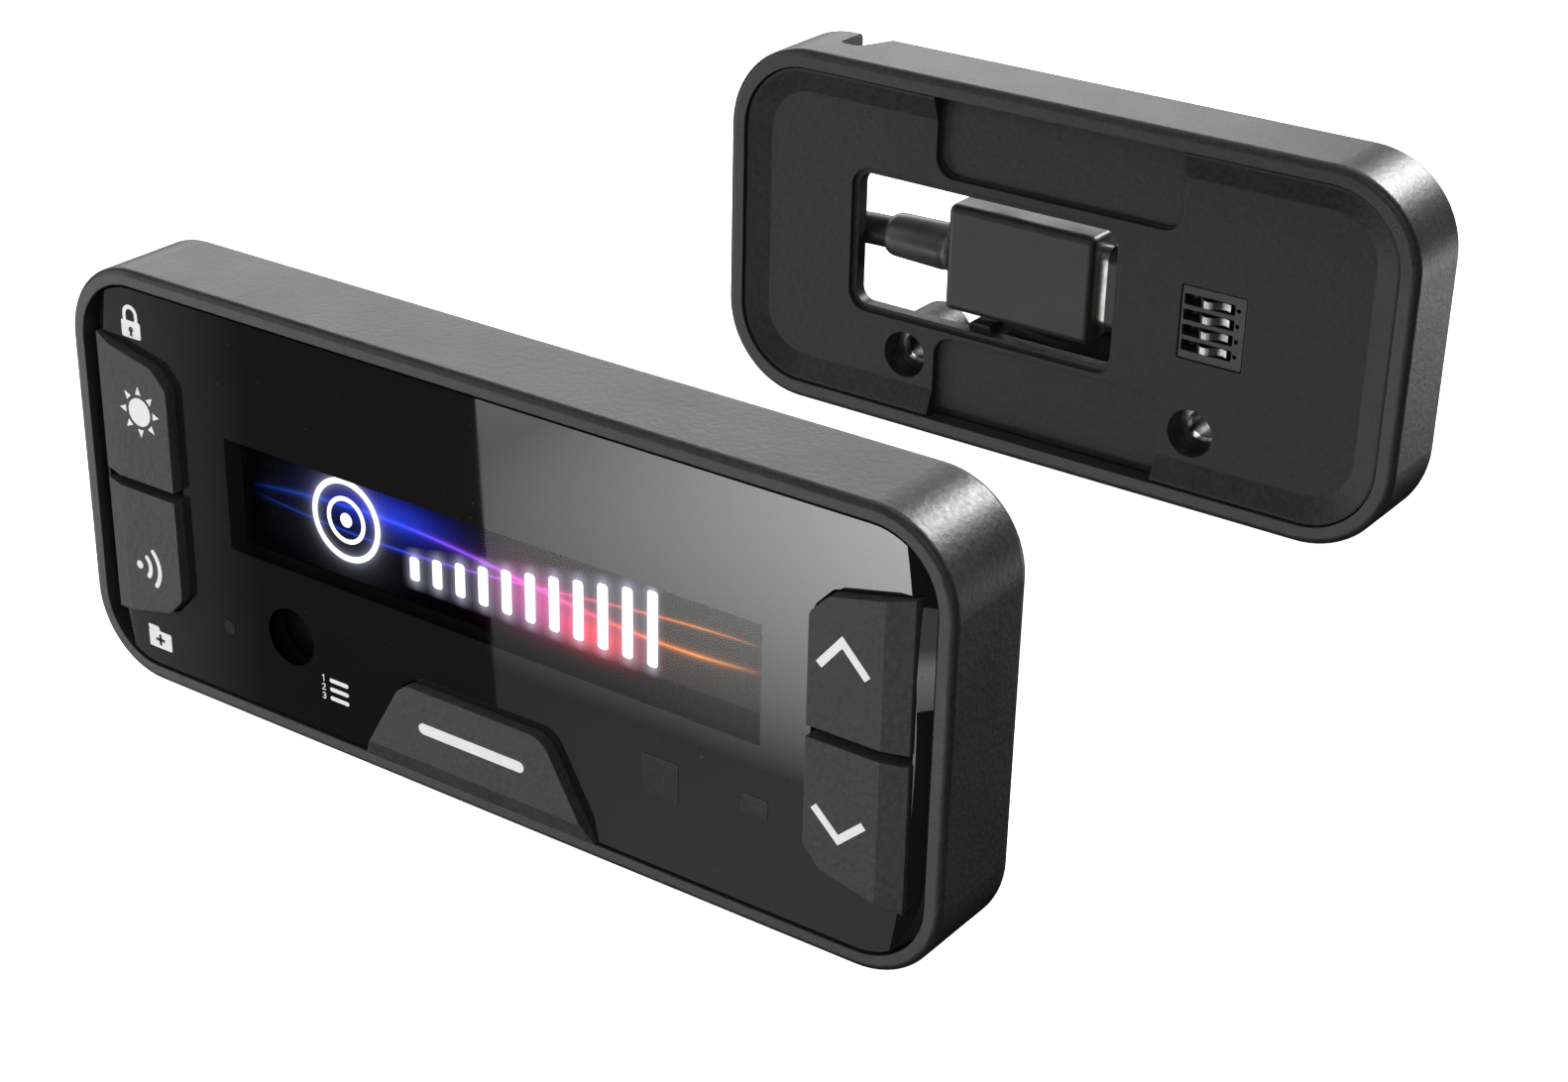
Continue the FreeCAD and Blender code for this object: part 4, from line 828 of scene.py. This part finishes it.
def make_sleeves():
    """Smooth strain reliefs with a rounded mouth, one on each plug; the far one is handed back."""
    low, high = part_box("plug_relief")
    long = (high.x - low.x) / MM
    profile = [(0.0, 1.62), (0.03, 1.78), (0.15, 1.98), (0.4, 2.12), (0.8, 2.2), (2.0, 2.24),
               (long - 1.6, 2.36), (long - 1.2, 2.32), (long - 1.0, 2.2), (long - 0.8, 2.2),
               (long - 0.6, 2.36), (long, 2.4)]
    middle = ((low.y + high.y) / 2, (low.z + high.z) / 2)
    make_sleeve("plug_sleeve", (low.x, *middle), 1, profile, "plug_relief")
    low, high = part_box("far_plug_relief")
    middle = ((low.y + high.y) / 2, (low.z + high.z) / 2)
    return make_sleeve("far_plug_sleeve", (high.x, *middle), -1, profile, "far_plug_relief")


def make_strap():
    """A flat strap round the coil's bundle, closed all round."""
    low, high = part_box("coil_tie")
    middle = ((low.x + high.x) / 2, (low.z + high.z) / 2)
    wide, tall = high.x - low.x, high.z - low.z
    thick, corner = 0.4 * MM, 1.6 * MM
    rows = 9

    def loop(outset):
        """The strap's outline round the bundle, grown by outset."""
        box = round_box((middle[0] / MM, middle[1] / MM), (wide + outset * 2) / MM, (tall + outset * 2) / MM,
                        (corner + outset) / MM)
        return [(x * MM, z * MM) for x, z in box]

    def band(bm, outer, inner, start, end):
        """A hollow band between two outlines, its outside swelling a little in the middle."""
        rings = []
        for row in range(rows):
            share = row / (rows - 1)
            y = start + (end - start) * share
            swell = 0.06 * MM * math.sin(math.pi * share)
            for outline, sign in ((outer, 1), (inner, 0)):
                scale = 1 + sign * swell / (wide / 2)
                rings.append([bm.verts.new((middle[0] + (x - middle[0]) * scale, y,
                                            middle[1] + (z - middle[1]) * scale)) for x, z in outline])
        for row in range(rows - 1):
            for side in (0, 1):
                join_rings(bm, rings[row * 2 + side], rings[row * 2 + 2 + side])
        for row in (0, rows - 1):
            join_rings(bm, rings[row * 2], rings[row * 2 + 1])

    def build(bm):
        band(bm, loop(0.0), loop(-thick), low.y, high.y)

    strap = add_piece("coil_strap", build, "dock", "tie")
    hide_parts("coil_tie")


# ---------------------------------------------------------------- small parts on the dock board

def make_board_parts():
    """A charging chip and chip resistors on the dock board's rear face."""
    low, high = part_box("dock_board")
    back = high.y
    randomiser = random.Random(SEED)
    spots = [(low.x + 4.5 * MM, MID_Z - 3.6 * MM, 2.6, 2.6, 0.55)]
    for column in range(4):
        for row in range(3):
            x = low.x + (9.2 + column * 2.3 + randomiser.uniform(-0.2, 0.2)) * MM
            z = MID_Z + (2.4 - row * 3.0 + randomiser.uniform(-0.2, 0.2)) * MM
            spots.append((x, z, 1.3, 0.7, 0.4))

    def block(bm, x, z, wide, tall, deep):
        made = bmesh.ops.create_cube(bm, size=1.0)
        size = Matrix.Diagonal((wide * MM, deep * MM, tall * MM, 1.0))
        place = Matrix.Translation((x, back + deep * MM / 2, z))
        bmesh.ops.transform(bm, matrix=place @ size, verts=made["verts"])
        edges = {e for v in made["verts"] for e in v.link_edges}
        bmesh.ops.bevel(bm, geom=list(edges), offset=0.06 * MM, segments=2, affect="EDGES")

    def bodies(bm):
        for x, z, wide, tall, deep in spots:
            block(bm, x, z, wide, tall, deep)

    def caps(bm):
        for x, z, wide, tall, deep in spots[1:]:
            for side in (-1, 1):
                block(bm, x + side * (wide / 2 - 0.1) * MM, z, 0.3, tall + 0.06, deep + 0.03)

    add_piece("dock_board_chips", bodies, "dock", "chip")
    add_piece("dock_board_solder", caps, "dock", "nickel")


# ---------------------------------------------------------------- floor, cards and light

def stage_plane(name, corners, material):
    """A flat surface of the stage, which isn't part of the object."""
    mesh = bpy.data.meshes.new(name)
    mesh.from_pydata([tuple(c) for c in corners], [], [tuple(range(len(corners)))])
    plane = bpy.data.objects.new(name, mesh)
    scene.collection.objects.link(plane)
    mesh.materials.append(material)
    return plane


def make_floor():
    """Plain white floor, bright enough of itself that shadows on it stay faint."""
    s = Shade("floor_white")
    speck = s.noise(3.0, 2.0)
    s.set(Base_Color=s.mix(speck, grey(0.90), grey(0.93)), Roughness=0.9)
    s.set(Emission_Color=(1.0, 1.0, 1.0), Emission_Strength=0.94)
    half, level = 4.0, -0.0002
    floor = stage_plane("floor", [(-half, -half, level), (half, -half, level), (half, half, level),
                                  (-half, half, level)], s.material)
    floor.visible_glossy = floor.visible_diffuse = floor.visible_shadow = False


def glowing_card(s, corners, strength):
    """A card that only reflections see."""
    s.tree.nodes.remove(s.shader)
    glow = s.add("ShaderNodeEmission")
    s.feed(glow.inputs["Strength"], strength)
    s.feed(s.out.inputs["Surface"], glow.outputs[0])
    card = stage_plane(s.material.name, corners, s.material)
    card.visible_camera = card.visible_diffuse = card.visible_shadow = card.visible_transmission = False


def make_softbox():
    """A card under the floor, mirrored by the lens: its edge crosses the lens upright."""
    camera = scene.camera.matrix_world.translation
    eye = Vector((camera.x, 2 * LENS_Y - camera.y, camera.z))
    level = -0.30

    def below(x, z):
        """Where on the card's level a place on the lens is mirrored."""
        spot = Vector((x, LENS_Y, z))
        way = spot - eye
        return eye + way * ((level - eye.z) / way.z)

    top, low = below(0.0, HEAD_HIGH.z), below(2.3 * MM, HEAD_LOW.z)
    far, near = below(0.0, HEAD_HIGH.z + 12 * MM), below(2.8 * MM, HEAD_LOW.z - 6 * MM)
    rear = far + (far - near).normalized() * 0.3
    right = Vector((near.x + 0.9, near.y - 0.23, near.z))
    corner = Vector((right.x, rear.y, right.z))
    left, back, front = top.x / MM, top.y / MM, low.y / MM
    s = Shade("softbox_card")
    fall = s.spread(s.axis("Y"), 1.0, 0.04, back, back + (front - back) * 0.72)
    rise = s.spread(s.axis("X"), 1.9, 11.0, left + 50.0, left + 270.0)
    beside = s.spread(s.axis("X"), 1.0, 0.22, -170.0, -90.0)
    beyond = s.spread(s.axis("Y"), 0.3, 1.0, back - 60.0, back - 12.0)
    glow = s.math("MULTIPLY", s.math("MULTIPLY", fall, beyond), s.math("MULTIPLY", rise, beside))
    glowing_card(s, [rear, near, right, corner], glow)


def make_left_card():
    """A dim upright card far to the left, so that the lens's left end isn't quite black."""
    s = Shade("left_card")
    glow = s.spread(s.axis("Y"), 0.0, 0.65, -985.0, -840.0)
    corners = [(-1.0, y, z) for y, z in ((-0.2, -0.1), (-1.1, -0.1), (-1.1, -1.2), (-0.2, -1.2))]
    glowing_card(s, corners, glow)


def area_light(name, at, target, wide, tall, power):
    """A soft rectangular light, sizes in metres, aimed at a target."""
    data = bpy.data.lights.new(name, "AREA")
    data.shape, data.size, data.size_y, data.energy = "RECTANGLE", wide, tall, power
    light = bpy.data.objects.new(name, data)
    scene.collection.objects.link(light)
    light.location = at
    light.rotation_euler = (Vector(target) - Vector(at)).to_track_quat("-Z", "Y").to_euler()
    light.visible_camera = False


# Name, place, width and height in metres, and power in watts.
LIGHTS = (
    ("back_softbox", (-0.80, 0.82, 0.44), 1.0, 0.5, 4.9),
    ("corner_strip", (0.22, 1.0, 0.72), 0.34, 0.36, 17.0),
    ("top_softbox", (-0.2, 0.1, 1.3), 1.0, 0.8, 3.0),
    ("left_softbox", (-1.2, -0.7, 0.5), 0.9, 0.9, 4.0),
    ("front_softbox", (0.5, -1.4, 0.9), 1.2, 0.6, 4.0),
    ("left_low_softbox", (-0.95, -0.50, -0.30), 0.5, 0.5, 2.4),
    ("under_strip", (0.46, 1.05, -0.28), 0.45, 0.22, 1.0),
)


def make_lights():
    """A white room that lights the object faintly, and the softboxes."""
    world = bpy.data.worlds.new("studio")
    scene.world = world
    world.use_nodes = True
    background = world.node_tree.nodes["Background"]
    background.inputs["Color"].default_value = (1.0, 1.0, 1.0, 1.0)
    path = world.node_tree.nodes.new("ShaderNodeLightPath")
    level = world.node_tree.nodes.new("ShaderNodeMapRange")
    level.inputs["To Min"].default_value = AMBIENT
    level.inputs["To Max"].default_value = 1.0
    world.node_tree.links.new(path.outputs["Is Camera Ray"], level.inputs["Value"])
    world.node_tree.links.new(level.outputs[0], background.inputs["Strength"])
    world.cycles_visibility.glossy = False
    for name, at, wide, tall, power in LIGHTS:
        area_light(name, at, (0.0, 0.0, MID_Z), wide, tall, power)
    scene.view_settings.view_transform = "Standard"


# ---------------------------------------------------------------- the whole

make_camera()
paint_nodes()
lead = make_cord()
far_sleeve = make_sleeves()
make_strap()
key_symbols()
lens_symbols()
display_picture()
make_board_parts()
make_floor()
make_softbox()
make_left_card()
make_lights()
